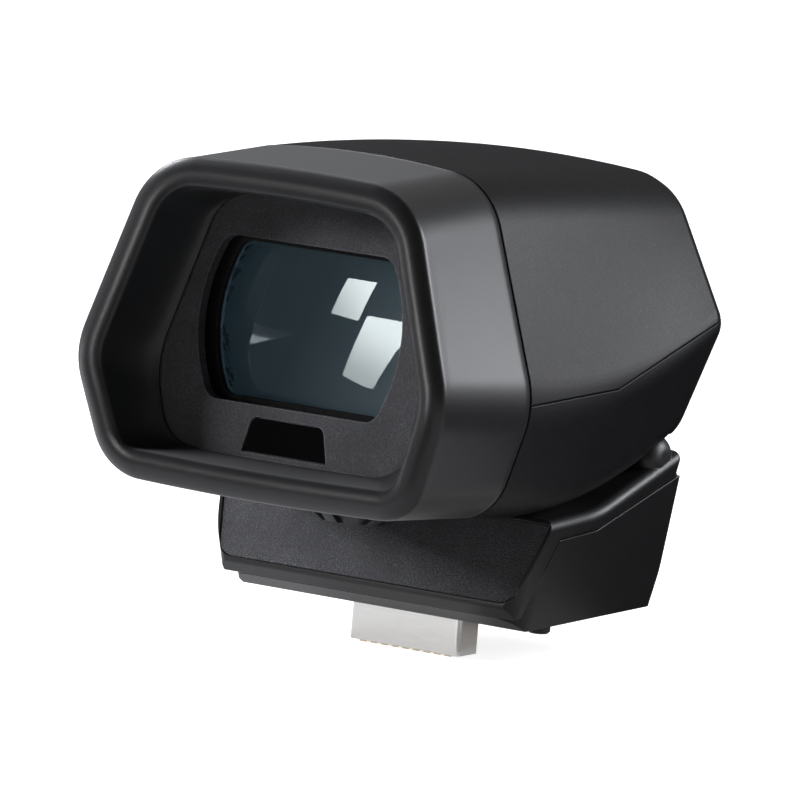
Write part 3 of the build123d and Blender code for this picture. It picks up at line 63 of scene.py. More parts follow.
def addNode(tree, kind, **values):
    node = tree.nodes.new(kind)
    for key, value in values.items():
        setattr(node, key, value)
    return node


def plug(tree, source, target):
    if hasattr(source, "is_output"):
        tree.links.new(source, target)
    else:
        target.default_value = source


def mathNode(tree, operation, a, b=0.0, clamp=False):
    node = addNode(tree, "ShaderNodeMath", operation=operation, use_clamp=clamp)
    plug(tree, a, node.inputs[0])
    plug(tree, b, node.inputs[1])
    return node.outputs[0]


def spread(tree, value, low, high, outLow=0.0, outHigh=1.0):
    node = addNode(tree, "ShaderNodeMapRange", interpolation_type="SMOOTHSTEP")
    plug(tree, value, node.inputs["Value"])
    for name, number in (("From Min", low), ("From Max", high), ("To Min", outLow), ("To Max", outHigh)):
        plug(tree, number, node.inputs[name])
    return node.outputs["Result"]


def blendColours(tree, share, first, second):
    node = addNode(tree, "ShaderNodeMix", data_type="RGBA")
    plug(tree, share, node.inputs[0])
    plug(tree, first if hasattr(first, "is_output") else (*first, 1.0), node.inputs[6])
    plug(tree, second if hasattr(second, "is_output") else (*second, 1.0), node.inputs[7])
    return node.outputs[2]


def setInputs(node, values):
    for key, value in values.items():
        node.inputs[key].default_value = value


def newGroup(name, inputs, outputs):
    tree = bpy.data.node_groups.new(name, "ShaderNodeTree")
    for socketName, kind, value in inputs:
        socket = tree.interface.new_socket(name=socketName, in_out="INPUT", socket_type=kind)
        socket.default_value = value
    for socketName, kind in outputs:
        tree.interface.new_socket(name=socketName, in_out="OUTPUT", socket_type=kind)
    source = addNode(tree, "NodeGroupInput")
    target = addNode(tree, "NodeGroupOutput")
    return tree, source.outputs, target.inputs


def placeGroup(tree, group, values):
    node = addNode(tree, "ShaderNodeGroup", node_tree=group)
    setInputs(node, values)
    return node.outputs


def objectPoint(tree, perMillimetre):
    place = addNode(tree, "ShaderNodeTexCoord")
    scaled = addNode(tree, "ShaderNodeVectorMath", operation="SCALE")
    plug(tree, place.outputs["Object"], scaled.inputs[0])
    plug(tree, perMillimetre, scaled.inputs["Scale"])
    return scaled.outputs[0]


# shared effects

# moulded grain: the pitted skin that a spark-eroded mould leaves on plastic
grainForm = {
    "noise": {"Scale": 0.5, "Detail": 3.0, "Roughness": 0.62}, "cellScale": 0.8, "speck": (0.46, 0.72),
    "cloud": {"Scale": 0.02, "Detail": 3.0, "Roughness": 0.55}, "cloudSpread": (0.38, 0.64),
}
mouldGrain, groupIn, groupOut = newGroup(
    "mouldGrain",
    [("Grain Size", "NodeSocketFloat", 0.2), ("Clumping", "NodeSocketFloat", 0.5)],
    [("Height", "NodeSocketFloat"), ("Speck", "NodeSocketFloat"), ("Cloud", "NodeSocketFloat")],
)
grainRate = mathNode(mouldGrain, "DIVIDE", 1000.0, groupIn["Grain Size"])
grainPoint = objectPoint(mouldGrain, grainRate)
grainNoise = addNode(mouldGrain, "ShaderNodeTexNoise")
plug(mouldGrain, grainPoint, grainNoise.inputs["Vector"])
setInputs(grainNoise, grainForm["noise"])
grainCells = addNode(mouldGrain, "ShaderNodeTexVoronoi", feature="F1")
plug(mouldGrain, grainPoint, grainCells.inputs["Vector"])
grainCells.inputs["Scale"].default_value = grainForm["cellScale"]
cellHeight = mathNode(mouldGrain, "SUBTRACT", 1.0, grainCells.outputs["Distance"])
mixedHeight = addNode(mouldGrain, "ShaderNodeMix", data_type="FLOAT")
plug(mouldGrain, groupIn["Clumping"], mixedHeight.inputs[0])
plug(mouldGrain, grainNoise.outputs[0], mixedHeight.inputs[2])
plug(mouldGrain, cellHeight, mixedHeight.inputs[3])
plug(mouldGrain, mixedHeight.outputs[0], groupOut["Height"])
plug(mouldGrain, spread(mouldGrain, mixedHeight.outputs[0], *grainForm["speck"]), groupOut["Speck"])
cloudNoise = addNode(mouldGrain, "ShaderNodeTexNoise")
plug(mouldGrain, grainPoint, cloudNoise.inputs["Vector"])
setInputs(cloudNoise, grainForm["cloud"])
plug(mouldGrain, spread(mouldGrain, cloudNoise.outputs[0], *grainForm["cloudSpread"]), groupOut["Cloud"])

# edge round: softens a moulded edge for light, and marks where handling polishes it
edgeRound, groupIn, groupOut = newGroup(
    "edgeRound",
    [("Radius", "NodeSocketFloat", 0.0002), ("Reach", "NodeSocketFloat", 5.0)],
    [("Mask", "NodeSocketFloat"), ("Normal", "NodeSocketVector")],
)
bevelNode = addNode(edgeRound, "ShaderNodeBevel", samples=6)
plug(edgeRound, groupIn["Radius"], bevelNode.inputs["Radius"])
faceNormal = addNode(edgeRound, "ShaderNodeNewGeometry")
edgeDot = addNode(edgeRound, "ShaderNodeVectorMath", operation="DOT_PRODUCT")
plug(edgeRound, bevelNode.outputs[0], edgeDot.inputs[0])
plug(edgeRound, faceNormal.outputs["Normal"], edgeDot.inputs[1])
edgeTurn = mathNode(edgeRound, "SUBTRACT", 1.0, edgeDot.outputs["Value"])
plug(edgeRound, mathNode(edgeRound, "MULTIPLY", edgeTurn, groupIn["Reach"], clamp=True), groupOut["Mask"])
plug(edgeRound, bevelNode.outputs[0], groupOut["Normal"])

# fine dust: a few pale specks, thicker on surfaces that face up
dustForm = {"dotScale": 0.22, "dotSpread": (0.16, 0.05), "patchScale": 0.035, "patchSpread": (0.5, 0.7),
            "upSpread": (-0.4, 0.9, 0.25, 1.0)}
fineDust, groupIn, groupOut = newGroup(
    "fineDust",
    [("Amount", "NodeSocketFloat", 0.1), ("Speck Size", "NodeSocketFloat", 0.4)],
    [("Mask", "NodeSocketFloat")],
)
dustPoint = objectPoint(fineDust, mathNode(fineDust, "DIVIDE", 1000.0, groupIn["Speck Size"]))
dustCells = addNode(fineDust, "ShaderNodeTexVoronoi", feature="F1")
plug(fineDust, dustPoint, dustCells.inputs["Vector"])
dustCells.inputs["Scale"].default_value = dustForm["dotScale"]
dustDots = spread(fineDust, dustCells.outputs["Distance"], *dustForm["dotSpread"])
dustPatch = addNode(fineDust, "ShaderNodeTexNoise")
plug(fineDust, dustPoint, dustPatch.inputs["Vector"])
dustPatch.inputs["Scale"].default_value = dustForm["patchScale"]
patchShare = spread(fineDust, dustPatch.outputs[0], *dustForm["patchSpread"])
dustShare = mathNode(fineDust, "MULTIPLY", dustDots, patchShare)
upward = addNode(fineDust, "ShaderNodeNewGeometry")
upwardParts = addNode(fineDust, "ShaderNodeSeparateXYZ")
plug(fineDust, upward.outputs["Normal"], upwardParts.inputs[0])
upShare = spread(fineDust, upwardParts.outputs["Z"], *dustForm["upSpread"])
dustShare = mathNode(fineDust, "MULTIPLY", dustShare, upShare)
plug(fineDust, mathNode(fineDust, "MULTIPLY", dustShare, groupIn["Amount"], clamp=True), groupOut["Mask"])

# drawn lines: the faint one-way scratches of rolled or turned metal
lineForm = {"noise": {"Scale": 0.4, "Detail": 2.0, "Roughness": 0.5}, "shade": (0.35, 0.65)}
drawnLines, groupIn, groupOut = newGroup(
    "drawnLines",
    [("Line Width", "NodeSocketFloat", 0.08), ("Stretch", "NodeSocketVector", (1.0, 1.0, 0.04))],
    [("Height", "NodeSocketFloat"), ("Shade", "NodeSocketFloat")],
)
linePoint = objectPoint(drawnLines, mathNode(drawnLines, "DIVIDE", 1000.0, groupIn["Line Width"]))
lineStretch = addNode(drawnLines, "ShaderNodeVectorMath", operation="MULTIPLY")
plug(drawnLines, linePoint, lineStretch.inputs[0])
plug(drawnLines, groupIn["Stretch"], lineStretch.inputs[1])
lineNoise = addNode(drawnLines, "ShaderNodeTexNoise")
plug(drawnLines, lineStretch.outputs[0], lineNoise.inputs["Vector"])
setInputs(lineNoise, lineForm["noise"])
plug(drawnLines, lineNoise.outputs[0], groupOut["Height"])
plug(drawnLines, spread(drawnLines, lineNoise.outputs[0], *lineForm["shade"]), groupOut["Shade"])
print("shared effects made")

# the head's own frame: x right, y back, z up from the centre of the lens window, in millimetres
headFrame = {"front": 42.05, "height": 46.9, "rake": 4.65}
rake = math.radians(headFrame["rake"])
headOrigin = Vector((0.0, -headFrame["front"], headFrame["height"]))
headBack = Vector((0.0, math.cos(rake), -math.sin(rake)))
headUp = Vector((0.0, math.sin(rake), math.cos(rake)))


def fromHead(point):
    return (headOrigin + Vector((point.x, 0.0, 0.0)) + point.y * headBack + point.z * headUp) / 1000.0


# how far a point lies behind the lens window's centre, along the head, in metres
def headDepth(tree):
    place = addNode(tree, "ShaderNodeTexCoord")
    along = addNode(tree, "ShaderNodeVectorMath", operation="DOT_PRODUCT")
    plug(tree, place.outputs["Object"], along.inputs[0])
    along.inputs[1].default_value = headBack
    return mathNode(tree, "SUBTRACT", along.outputs["Value"], headOrigin.dot(headBack) / 1000.0)


# finishes

skinForm = {"edgeReach": 5.0, "dustSize": 0.35, "dustColour": (0.22, 0.21, 0.2), "roughSpread": (0.3, 0.75),
            "edgePolish": 0.08, "sheenRoughness": 0.4}
metalForm = {"edgeReach": 4.0, "edgeShare": 0.5, "roughSpread": (0.3, 0.7), "lineDepth": 0.00001}


def startMaterial(name):
    material = bpy.data.materials.new(name)
    material.use_nodes = True
    tree = material.node_tree
    tree.nodes.clear()
    shader = addNode(tree, "ShaderNodeBsdfPrincipled")
    output = addNode(tree, "ShaderNodeOutputMaterial")
    tree.links.new(shader.outputs[0], output.inputs["Surface"])
    return material, tree, shader


def mouldedFinish(name, look):
    material, tree, shader = startMaterial(name)
    grain = placeGroup(tree, mouldGrain, {"Grain Size": look["grainSize"], "Clumping": look["clumping"]})
    edge = placeGroup(tree, edgeRound, {"Radius": look["edgeRadius"], "Reach": skinForm["edgeReach"]})
    dust = placeGroup(tree, fineDust, {"Amount": look["dust"], "Speck Size": skinForm["dustSize"]})
    colour = blendColours(tree, grain["Speck"], look["colour"], look["speckColour"])
    cloudShare = mathNode(tree, "MULTIPLY", grain["Cloud"], look["cloudShare"])
    colour = blendColours(tree, cloudShare, colour, look["cloudColour"])
    edgeShare = mathNode(tree, "MULTIPLY", edge["Mask"], look["edgeShare"], clamp=True)
    colour = blendColours(tree, edgeShare, colour, look["edgeColour"])
    colour = blendColours(tree, dust["Mask"], colour, skinForm["dustColour"])
    plug(tree, colour, shader.inputs["Base Color"])
    grainRough = spread(tree, grain["Height"], *skinForm["roughSpread"], look["roughHigh"], look["roughLow"])
    polish = mathNode(tree, "MULTIPLY", edge["Mask"], skinForm["edgePolish"])
    plug(tree, mathNode(tree, "SUBTRACT", grainRough, polish), shader.inputs["Roughness"])
    bump = addNode(tree, "ShaderNodeBump")
    bump.inputs["Strength"].default_value = look["bumpStrength"]
    bump.inputs["Distance"].default_value = look["grainDepth"]
    plug(tree, grain["Height"], bump.inputs["Height"])
    plug(tree, edge["Normal"], bump.inputs["Normal"])
    plug(tree, bump.outputs[0], shader.inputs["Normal"])
    shader.inputs["Specular IOR Level"].default_value = look["specular"]
    shader.inputs["Sheen Weight"].default_value = look.get("sheen", 0.0)
    shader.inputs["Sheen Roughness"].default_value = skinForm["sheenRoughness"]
    return material


def metalFinish(name, look):
    material, tree, shader = startMaterial(name)
    lines = placeGroup(tree, drawnLines, {"Line Width": look["lineWidth"], "Stretch": look["stretch"]})
    edge = placeGroup(tree, edgeRound, {"Radius": look["edgeRadius"], "Reach": metalForm["edgeReach"]})
    colour = blendColours(tree, lines["Shade"], look["colour"], look["lineColour"])
    edgeShare = mathNode(tree, "MULTIPLY", edge["Mask"], metalForm["edgeShare"])
    colour = blendColours(tree, edgeShare, colour, look["edgeColour"])
    plug(tree, colour, shader.inputs["Base Color"])
    rough = spread(tree, lines["Height"], *metalForm["roughSpread"], look["roughLow"], look["roughHigh"])
    plug(tree, rough, shader.inputs["Roughness"])
    bump = addNode(tree, "ShaderNodeBump")
    bump.inputs["Strength"].default_value = look["bumpStrength"]
    bump.inputs["Distance"].default_value = metalForm["lineDepth"]
    plug(tree, lines["Height"], bump.inputs["Height"])
    plug(tree, edge["Normal"], bump.inputs["Normal"])
    plug(tree, bump.outputs[0], shader.inputs["Normal"])
    shader.inputs["Metallic"].default_value = look["metallic"]
    return material


def blackMoulding(colour, **changes):
    look = {
        "colour": colour, "speckColour": tuple(1.35 * c for c in colour),
        "cloudColour": tuple(0.8 * c for c in colour), "cloudShare": 0.4,
        "edgeColour": tuple(1.8 * c for c in colour), "edgeShare": 0.5,
        "grainSize": 0.2, "clumping": 0.5, "grainDepth": 0.00002, "bumpStrength": 0.5,
        "roughLow": 0.4, "roughHigh": 0.55, "specular": 0.25, "edgeRadius": 0.00018, "dust": 0.12,
    }
    look.update(changes)
    return look


eyecupRubber = blackMoulding(
    (0.011, 0.011, 0.0118), grainSize=0.12, grainDepth=0.000006, roughLow=0.3, roughHigh=0.38,
    specular=0.3, edgeRadius=0.0003, sheen=0.06, dust=0.1)
bezelSkin = blackMoulding(
    (0.042, 0.042, 0.0442), speckColour=(0.1, 0.1, 0.105), edgeColour=(0.2, 0.2, 0.21), edgeShare=0.9,
    grainSize=0.13, clumping=0.35, grainDepth=0.0004, bumpStrength=1.0, roughLow=0.45, roughHigh=0.62,
    specular=0.16)
windowGloss = blackMoulding(
    (0.001, 0.001, 0.0012), edgeColour=(0.16, 0.16, 0.165), edgeShare=1.0, grainSize=0.5, dust=0.0,
    grainDepth=0.000001, bumpStrength=0.1, roughLow=0.05, roughHigh=0.08, specular=0.1, edgeRadius=0.00022)
innerMatt = blackMoulding((0.006, 0.006, 0.0065), grainSize=0.25, roughLow=0.6, roughHigh=0.8, specular=0.12)
shellSkin = blackMoulding(
    (0.006, 0.006, 0.0066), speckColour=(0.012, 0.012, 0.0132), grainSize=0.16, clumping=0.4,
    grainDepth=0.00003, bumpStrength=0.8, roughLow=0.4, roughHigh=0.5, specular=0.17, edgeRadius=0.0003)
baseSkin = blackMoulding(
    (0.007, 0.007, 0.0075), speckColour=(0.012, 0.012, 0.0129), grainSize=0.14, grainDepth=0.000014,
    roughLow=0.36, roughHigh=0.46, specular=0.36, edgeRadius=0.0003)
plateSkin = blackMoulding(
    (0.044, 0.044, 0.0463), speckColour=(0.12, 0.12, 0.126), grainSize=0.14, clumping=0.35,
    grainDepth=0.0004, bumpStrength=1.0, roughLow=0.42, roughHigh=0.58, specular=0.2)
dialSkin = blackMoulding(
    (0.014, 0.014, 0.015), grainSize=0.14, roughLow=0.35, roughHigh=0.46, edgeRadius=0.00015)
insulatorSkin = blackMoulding((0.008, 0.008, 0.0085), grainSize=0.2, roughLow=0.5, roughHigh=0.6)
slipSkin = blackMoulding(
    (0.62, 0.62, 0.58), speckColour=(0.68, 0.68, 0.64), cloudColour=(0.55, 0.55, 0.5),
    edgeColour=(0.7, 0.7, 0.66), grainSize=0.4, grainDepth=0.000004, roughLow=0.3, roughHigh=0.4,
    specular=0.45)
maskGreen = blackMoulding(
    (0.01, 0.075, 0.032), speckColour=(0.014, 0.1, 0.042), cloudColour=(0.008, 0.06, 0.026),
    edgeColour=(0.3, 0.26, 0.16), grainSize=0.9, grainDepth=0.000012, roughLow=0.22, roughHigh=0.36,
    specular=0.5)
screenFace = blackMoulding(
    (0.012, 0.02, 0.03), speckColour=(0.014, 0.024, 0.036), grainSize=0.1, grainDepth=0.000001,
    roughLow=0.05, roughHigh=0.08, specular=0.4, dust=0.0)
flexSkin = blackMoulding(
    (0.3, 0.13, 0.025), speckColour=(0.34, 0.16, 0.03), cloudColour=(0.26, 0.1, 0.02),
    edgeColour=(0.42, 0.22, 0.05), grainSize=0.5, grainDepth=0.000006, roughLow=0.26, roughHigh=0.38,
    specular=0.45)

nickelPlate = {
    "colour": (0.72, 0.71, 0.69), "lineColour": (0.78, 0.77, 0.75), "edgeColour": (0.9, 0.89, 0.88),
    "lineWidth": 0.05, "stretch": (0.04, 1.0, 1.0), "roughLow": 0.2, "roughHigh": 0.27, "bumpStrength": 0.06,
    "edgeRadius": 0.0002, "metallic": 1.0}
turnedSteel = dict(nickelPlate, colour=(0.5, 0.5, 0.5), lineColour=(0.58, 0.58, 0.58), lineWidth=0.14)
blackOxide = dict(
    nickelPlate, colour=(0.035, 0.035, 0.037), lineColour=(0.05, 0.05, 0.052), edgeColour=(0.16, 0.16, 0.16),
    roughLow=0.32, roughHigh=0.45, metallic=0.85)
pinBlack = dict(blackOxide, colour=(0.03, 0.03, 0.031), lineColour=(0.042, 0.042, 0.043))
brassSheet = dict(
    nickelPlate, colour=(0.6, 0.42, 0.17), lineColour=(0.68, 0.5, 0.22), edgeColour=(0.8, 0.64, 0.34))
goldPlate = dict(
    nickelPlate, colour=(0.72, 0.5, 0.2), lineColour=(0.78, 0.57, 0.25), edgeColour=(0.9, 0.72, 0.4))


def glassFinish(name, look):
    material, tree, shader = startMaterial(name)
    haze = placeGroup(tree, mouldGrain, {"Grain Size": look["hazeSize"], "Clumping": 0.2})
    colour = blendColours(tree, haze["Cloud"], look["colour"], look["cloudColour"])
    plug(tree, colour, shader.inputs["Base Color"])
    # painted light: the glass itself glows a faint navy, standing in for the dim light seen in the window; the
    # cloud varies it at random
    paintedGlow = blendColours(tree, haze["Cloud"], look["paintedGlow"], tuple(0.9 * c for c in look["paintedGlow"]))
    plug(tree, paintedGlow, shader.inputs["Emission Color"])
    shader.inputs["Emission Strength"].default_value = 1.0
    polish = spread(tree, haze["Height"], 0.3, 0.7, 0.0, look["haze"])
    # the faces inside the barrel are softer, so that they throw no second picture of the lamps
    hazedFrom = look["polishedTo"] + look["polishFade"]
    inward = spread(tree, headDepth(tree), look["polishedTo"], hazedFrom, 0.0, look["innerHaze"])
    plug(tree, mathNode(tree, "ADD", polish, inward), shader.inputs["Roughness"])
    shader.inputs["Metallic"].default_value = 0.0
    shader.inputs["Transmission Weight"].default_value = 1.0
    shader.inputs["IOR"].default_value = look["ior"]
    shader.inputs["Specular Tint"].default_value = (*look["coatTint"], 1.0)
    return material


# the glow colour in each glass look is painted light: a faint navy that the glass emits
coatedGlass = {
    "colour": (0.3, 0.36, 0.39), "cloudColour": (0.28, 0.34, 0.37), "paintedGlow": (0.003, 0.0062, 0.0086),
    "haze": 0.012, "hazeSize": 2.0, "ior": 1.5, "coatTint": (0.84, 0.97, 1.0),
    "polishedTo": 0.0062, "polishFade": 0.0004, "innerHaze": 0.5}
innerGlass = dict(
    coatedGlass, colour=(0.7, 0.78, 0.8), cloudColour=(0.68, 0.76, 0.78), coatTint=(0.01, 0.012, 0.014),
    paintedGlow=(0.0, 0.0002, 0.0004), polishedTo=0.0, innerHaze=0.5)

finishes = {
    "eyecupRubber": (mouldedFinish, eyecupRubber, ["eyecup"]),
    "bezelSkin": (mouldedFinish, bezelSkin, ["eyepiece_bezel"]),
    "windowGloss": (mouldedFinish, windowGloss, ["sensor_window"]),
    "innerMatt": (mouldedFinish, innerMatt, [
        "eyecup_frame", "optic_tube", "lens_carriage", "lens_spacers", "lens_retainer", "display_holder",
        "cam_disc"]),
    "shellSkin": (mouldedFinish, shellSkin, ["upper_shell", "lower_shell"]),
    "baseSkin": (mouldedFinish, baseSkin, ["base_cover", "base_pan"]),
    "plateSkin": (mouldedFinish, plateSkin, ["base_plate"]),
    "dialSkin": (mouldedFinish, dialSkin, ["dioptre_dial"]),
    "insulatorSkin": (mouldedFinish, insulatorSkin, ["plug_insulator"]),
    "slipSkin": (mouldedFinish, slipSkin, ["dial_washer", "screw_clip"]),
    "maskGreen": (mouldedFinish, maskGreen, ["sensor_board", "driver_board", "plug_board"]),
    "screenFace": (mouldedFinish, screenFace, ["display_panel"]),
    "flexSkin": (mouldedFinish, flexSkin, ["hinge_flex"]),
    "coatedGlass": (glassFinish, coatedGlass, ["lens_front"]),
    "innerGlass": (glassFinish, innerGlass, ["lens_middle", "lens_rear"]),
    "nickelPlate": (metalFinish, nickelPlate, ["plug_shell"]),
    "turnedSteel": (metalFinish, turnedSteel, [
        "hinge_bracket", "hinge_pin", "follower_pin", "mounting_screw", "screw_washer"]),
    "blackOxide": (metalFinish, blackOxide, [
        "frame_screws", "shell_screws", "optic_screws", "display_screws", "bracket_screws", "base_screws",
        "board_screws", "dial_screw"]),
    "pinBlack": (metalFinish, pinBlack, ["locating_pins"]),
    "brassSheet": (metalFinish, brassSheet, ["hinge_washers"]),
    "goldPlate": (metalFinish, goldPlate, ["plug_contacts"]),
}

madeFinishes = {}
for finishName, (maker, look, wearers) in finishes.items():
    madeFinishes[finishName] = maker(finishName, look)
    for nodeName in wearers:
        slots = nodes[nodeName].data.materials
        slots.clear()
        slots.append(madeFinishes[finishName])
print("finishes given to", sum(len(row[2]) for row in finishes.values()), "nodes")


# where an arc's centre lies: on a side's line moved inward, inside the bowed roof or floor that it touches
def tangentCentre(start, way, centre, reach):
    gap = start - centre
    along = gap.dot(way)
    return start + way * (-along - math.sqrt(along * along - gap.dot(gap) + reach * reach))


# right half of a six-sided outline, from the top down, as arcs of centre, radius, first and last heading
def outlineArcs(form):
    roof, ridge, floor = Vector(form["roof"]), Vector(form["ridge"]), Vector(form["floor"])
    roofCorner, ridgeCorner, floorCorner = form["corners"]
    roofRadius = (roof.x ** 2 + form["crown"] ** 2) / (2 * form["crown"])
    roofCentre = Vector((0.0, roof.y + form["crown"] - roofRadius))
    floorRadius = (floor.x ** 2 + form["keel"] ** 2) / (2 * form["keel"])
    floorCentre = Vector((0.0, floor.y - form["keel"] + floorRadius))
    sideWay, lowWay = (ridge - roof).normalized(), (floor - ridge).normalized()
    sideOut, lowOut = Vector((-sideWay.y, sideWay.x)), Vector((-lowWay.y, lowWay.x))
    first = tangentCentre(roof - roofCorner * sideOut, sideWay, roofCentre, roofRadius - roofCorner)
    middle = (sideOut + lowOut).normalized()
    second = ridge - middle * ridgeCorner / middle.dot(sideOut)
    third = tangentCentre(floor - floorCorner * lowOut, -lowWay, floorCentre, floorRadius - floorCorner)
    ways = (first - roofCentre, sideOut, lowOut, third - floorCentre)
    headings = [math.atan2(way.x, way.y) for way in ways]
    return [(roofCentre, roofRadius, 0.0, headings[0]),
            (first, roofCorner, headings[0], headings[1]),
            (second, ridgeCorner, headings[1], headings[2]),
            (third, floorCorner, headings[2], headings[3]),
            (floorCentre, floorRadius, headings[3], math.pi)]


# points on each arc, and on the straights before the third and fourth arcs
outlineSteps = {"arcs": (12, 18, 14, 16, 10), "straights": {2: 14, 3: 7}}


def outlinePoints(form, inset):
    right = []
    for index, (centre, radius, start, end) in enumerate(outlineArcs(form)):
        steps = outlineSteps["arcs"][index]
        turns = [start + (end - start) * step / steps for step in range(steps + 1)]
        arc = [centre + (radius - inset) * Vector((math.sin(turn), math.cos(turn))) for turn in turns]
        if index in outlineSteps["straights"]:
            last, count = right[-1], outlineSteps["straights"][index]
            right += [last.lerp(arc[0], step / count) for step in range(1, count)] + arc
        else:
            right += arc[1:] if right else arc
    return right + [Vector((-point.x, point.y)) for point in right[-2:0:-1]]


# millimetres in the head's frame; an outline's roof, ridge and floor are its right corners as (x, z)
eyecupForm = {
    "rim": {"roof": (24.2, 24.0), "crown": 0.9, "ridge": (34.6, -8.2), "floor": (28.6, -27.2), "keel": 0.7,
            "corners": (12.0, 15.0, 9.0)},
    "seam": {"roof": (23.7, 26.2), "crown": 1.8, "ridge": (36.4, -7.2), "floor": (31.6, -25.6), "keel": 1.6,
             "corners": (12.0, 15.0, 9.0)},
    "mouth": {"roof": (17.1, 19.9), "crown": 0.4, "ridge": (25.9, -8.8), "floor": (21.9, -21.4), "keel": 0.4,
              "corners": (8.0, 18.0, 7.5)},
    "rimFront": -11.5, "seamBack": 12.8, "lean": 12.5, "leanHeight": -9.0, "leanSoftness": 3.0,
    "wall": 2.6, "skirtRings": 16, "funnelRings": 14, "funnelFlare": 1.25, "funnelSlope": 1.3,
    # the lip that lies on the bezel: its height, how far it covers it, and the socket behind it
    "lipHeight": 0.6, "lipCover": 0.5, "lipRound": (0.1, 0.08), "bezelGap": 0.01, "socketInset": -0.1,
    "socketDepth": 1.9,
    # the thin shadow line before the casing: depth in front of the seam, and distance in from the skirt
    "seamGroove": [(0.0, 0.6), (0.2, 0.55), (0.24, 0.2), (0.3, 0.05)], "grooveWidth": 0.4,
    "crestInset": 2.7, "crestHalf": 2.3, "crestDepth": 1.0, "crestSpan": (0.36, 4.3), "crestSteps": 14,
    # corners of the rim's section, outside and inside: depth behind its front, distance in from its edge
    "outerCorner": [(2.4, 0.0), (1.9, 0.01), (1.5, 0.06), (1.22, 0.18)],
    "innerCorner": [(0.74, 4.56), (1.1, 4.74), (1.6, 4.86)],
}


def rimSection():
    form = eyecupForm
    first, last = form["crestSpan"]
    crest = []
    for step in range(form["crestSteps"] + 1):
        inset = first + (last - first) * step / form["crestSteps"]
        crest.append((form["crestDepth"] * ((inset - form["crestInset"]) / form["crestHalf"]) ** 2, inset))
    return form["outerCorner"] + crest + form["innerCorner"]


# the lower half of the rim leans back towards the base
def rimRing(depth, inset):
    lean = math.radians(eyecupForm["lean"])
    ring = []
    for point in outlinePoints(eyecupForm["rim"], inset):
        below = point.y - eyecupForm["leanHeight"]
        bend = (below - math.hypot(below, eyecupForm["leanSoftness"])) / 2
        ring.append(Vector((point.x, eyecupForm["rimFront"] + depth - math.sin(lean) * bend,
                            point.y + (math.cos(lean) - 1.0) * bend)))
    return ring


def levelRing(form, y, inset):
    return [Vector((point.x, y, point.y)) for point in outlinePoints(form, inset)]


def mixRings(first, second, share, depthShare=None):
    depthShare = share if depthShare is None else depthShare
    return [Vector((a.x + (b.x - a.x) * share, a.y + (b.y - a.y) * depthShare, a.z + (b.z - a.z) * share))
            for a, b in zip(first, second)]


def ringMesh(name, rings):
    count = len(rings[0])
    points = [fromHead(point) for ring in rings for point in ring]
    faces = []
    for r in range(len(rings)):
        start, after = r * count, (r + 1) % len(rings) * count
        for i in range(count):
            j = (i + 1) % count
            faces.append((start + i, after + i, after + j, start + j))
    mesh = bpy.data.meshes.new(name)
    mesh.from_pydata(points, [], faces)
    mesh.polygons.foreach_set("use_smooth", [True] * len(faces))
    mesh.update()
    return mesh


def addPiece(name, mesh, finishName):
    mesh.materials.append(madeFinishes[finishName])
    piece = bpy.data.objects.new(name, mesh)
    bpy.context.scene.collection.objects.link(piece)
    return piece


def makeEyecup():
    form = eyecupForm
    seam, mouth, back = form["seam"], form["mouth"], form["seamBack"]
    rings = [levelRing(seam, back - depth, inset) for depth, inset in form["seamGroove"]]
    skirtEnd, skirtStart = levelRing(seam, back - form["grooveWidth"], 0.0), rimRing(*form["outerCorner"][0])
    rings += [mixRings(skirtEnd, skirtStart, step / form["skirtRings"]) for step in range(form["skirtRings"])]
    rings += [rimRing(depth, inset) for depth, inset in rimSection()]
    funnelTop, funnelEnd = rings[-1], levelRing(mouth, -form["lipHeight"], form["lipCover"])
    for step in range(1, form["funnelRings"] + 1):
        share = step / form["funnelRings"]
        depthShare = 1.0 - (1.0 - share) ** form["funnelSlope"]
        rings.append(mixRings(funnelTop, funnelEnd, share ** form["funnelFlare"], depthShare))
    roundDepth, roundInset = form["lipRound"]
    rings += [levelRing(mouth, -form["lipHeight"] + roundDepth, form["lipCover"] + roundInset),
              levelRing(mouth, -form["bezelGap"], form["lipCover"] + roundDepth),
              levelRing(mouth, -form["bezelGap"], form["socketInset"]),
              levelRing(mouth, form["socketDepth"], form["socketInset"])]
    innerBack = levelRing(seam, back, form["wall"])
    innerFront = rimRing(form["outerCorner"][0][0], form["wall"])
    rings += [mixRings(innerBack, innerFront, 0.5), innerBack]
    piece = addPiece("eyecup_hood", ringMesh("eyecup_hood", rings), "eyecupRubber")
    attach(piece, "head")
    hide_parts("eyecup")


makeEyecup()
print("eyecup made")

# the ribbon through the hinge, in millimetres: its route as (y, z) corners from the head down to the base
ribbonForm = {
    "route": [(8.447, 33.717), (21.0, 32.7), (20.4, 25.5), (20.4, 11.0), (5.4, 11.0), (5.4, 9.8)],
    "cornerRadii": [1.1, 2.0, 1.2, 1.19], "across": (-9.7, -4.3), "thickness": 0.3, "step": 0.4,
    "cornerSteps": 8, "bendFrom": 22.4, "bendTo": 28.6,
}


def ribbonPath():
    route = [Vector(corner) for corner in ribbonForm["route"]]
    path = [route[0]]
    for index, radius in enumerate(ribbonForm["cornerRadii"], start=1):
        before = (route[index - 1] - route[index]).normalized()
        after = (route[index + 1] - route[index]).normalized()
        halfTurn = before.angle(after) / 2.0
        reach = radius / math.tan(halfTurn)
        first, last = route[index] + before * reach, route[index] + after * reach
        centre = route[index] + (before + after).normalized() * radius / math.sin(halfTurn)
        straight = first - path[-1]
        count = max(1, int(straight.length / ribbonForm["step"]))
        path += [path[-1] + straight * step / count for step in range(1, count + 1)]
        for step in range(1, ribbonForm["cornerSteps"] + 1):
            share = step / ribbonForm["cornerSteps"]
            way = (first - centre).lerp(last - centre, share)
            path.append(centre + way.normalized() * radius)
    return path + [route[-1]]


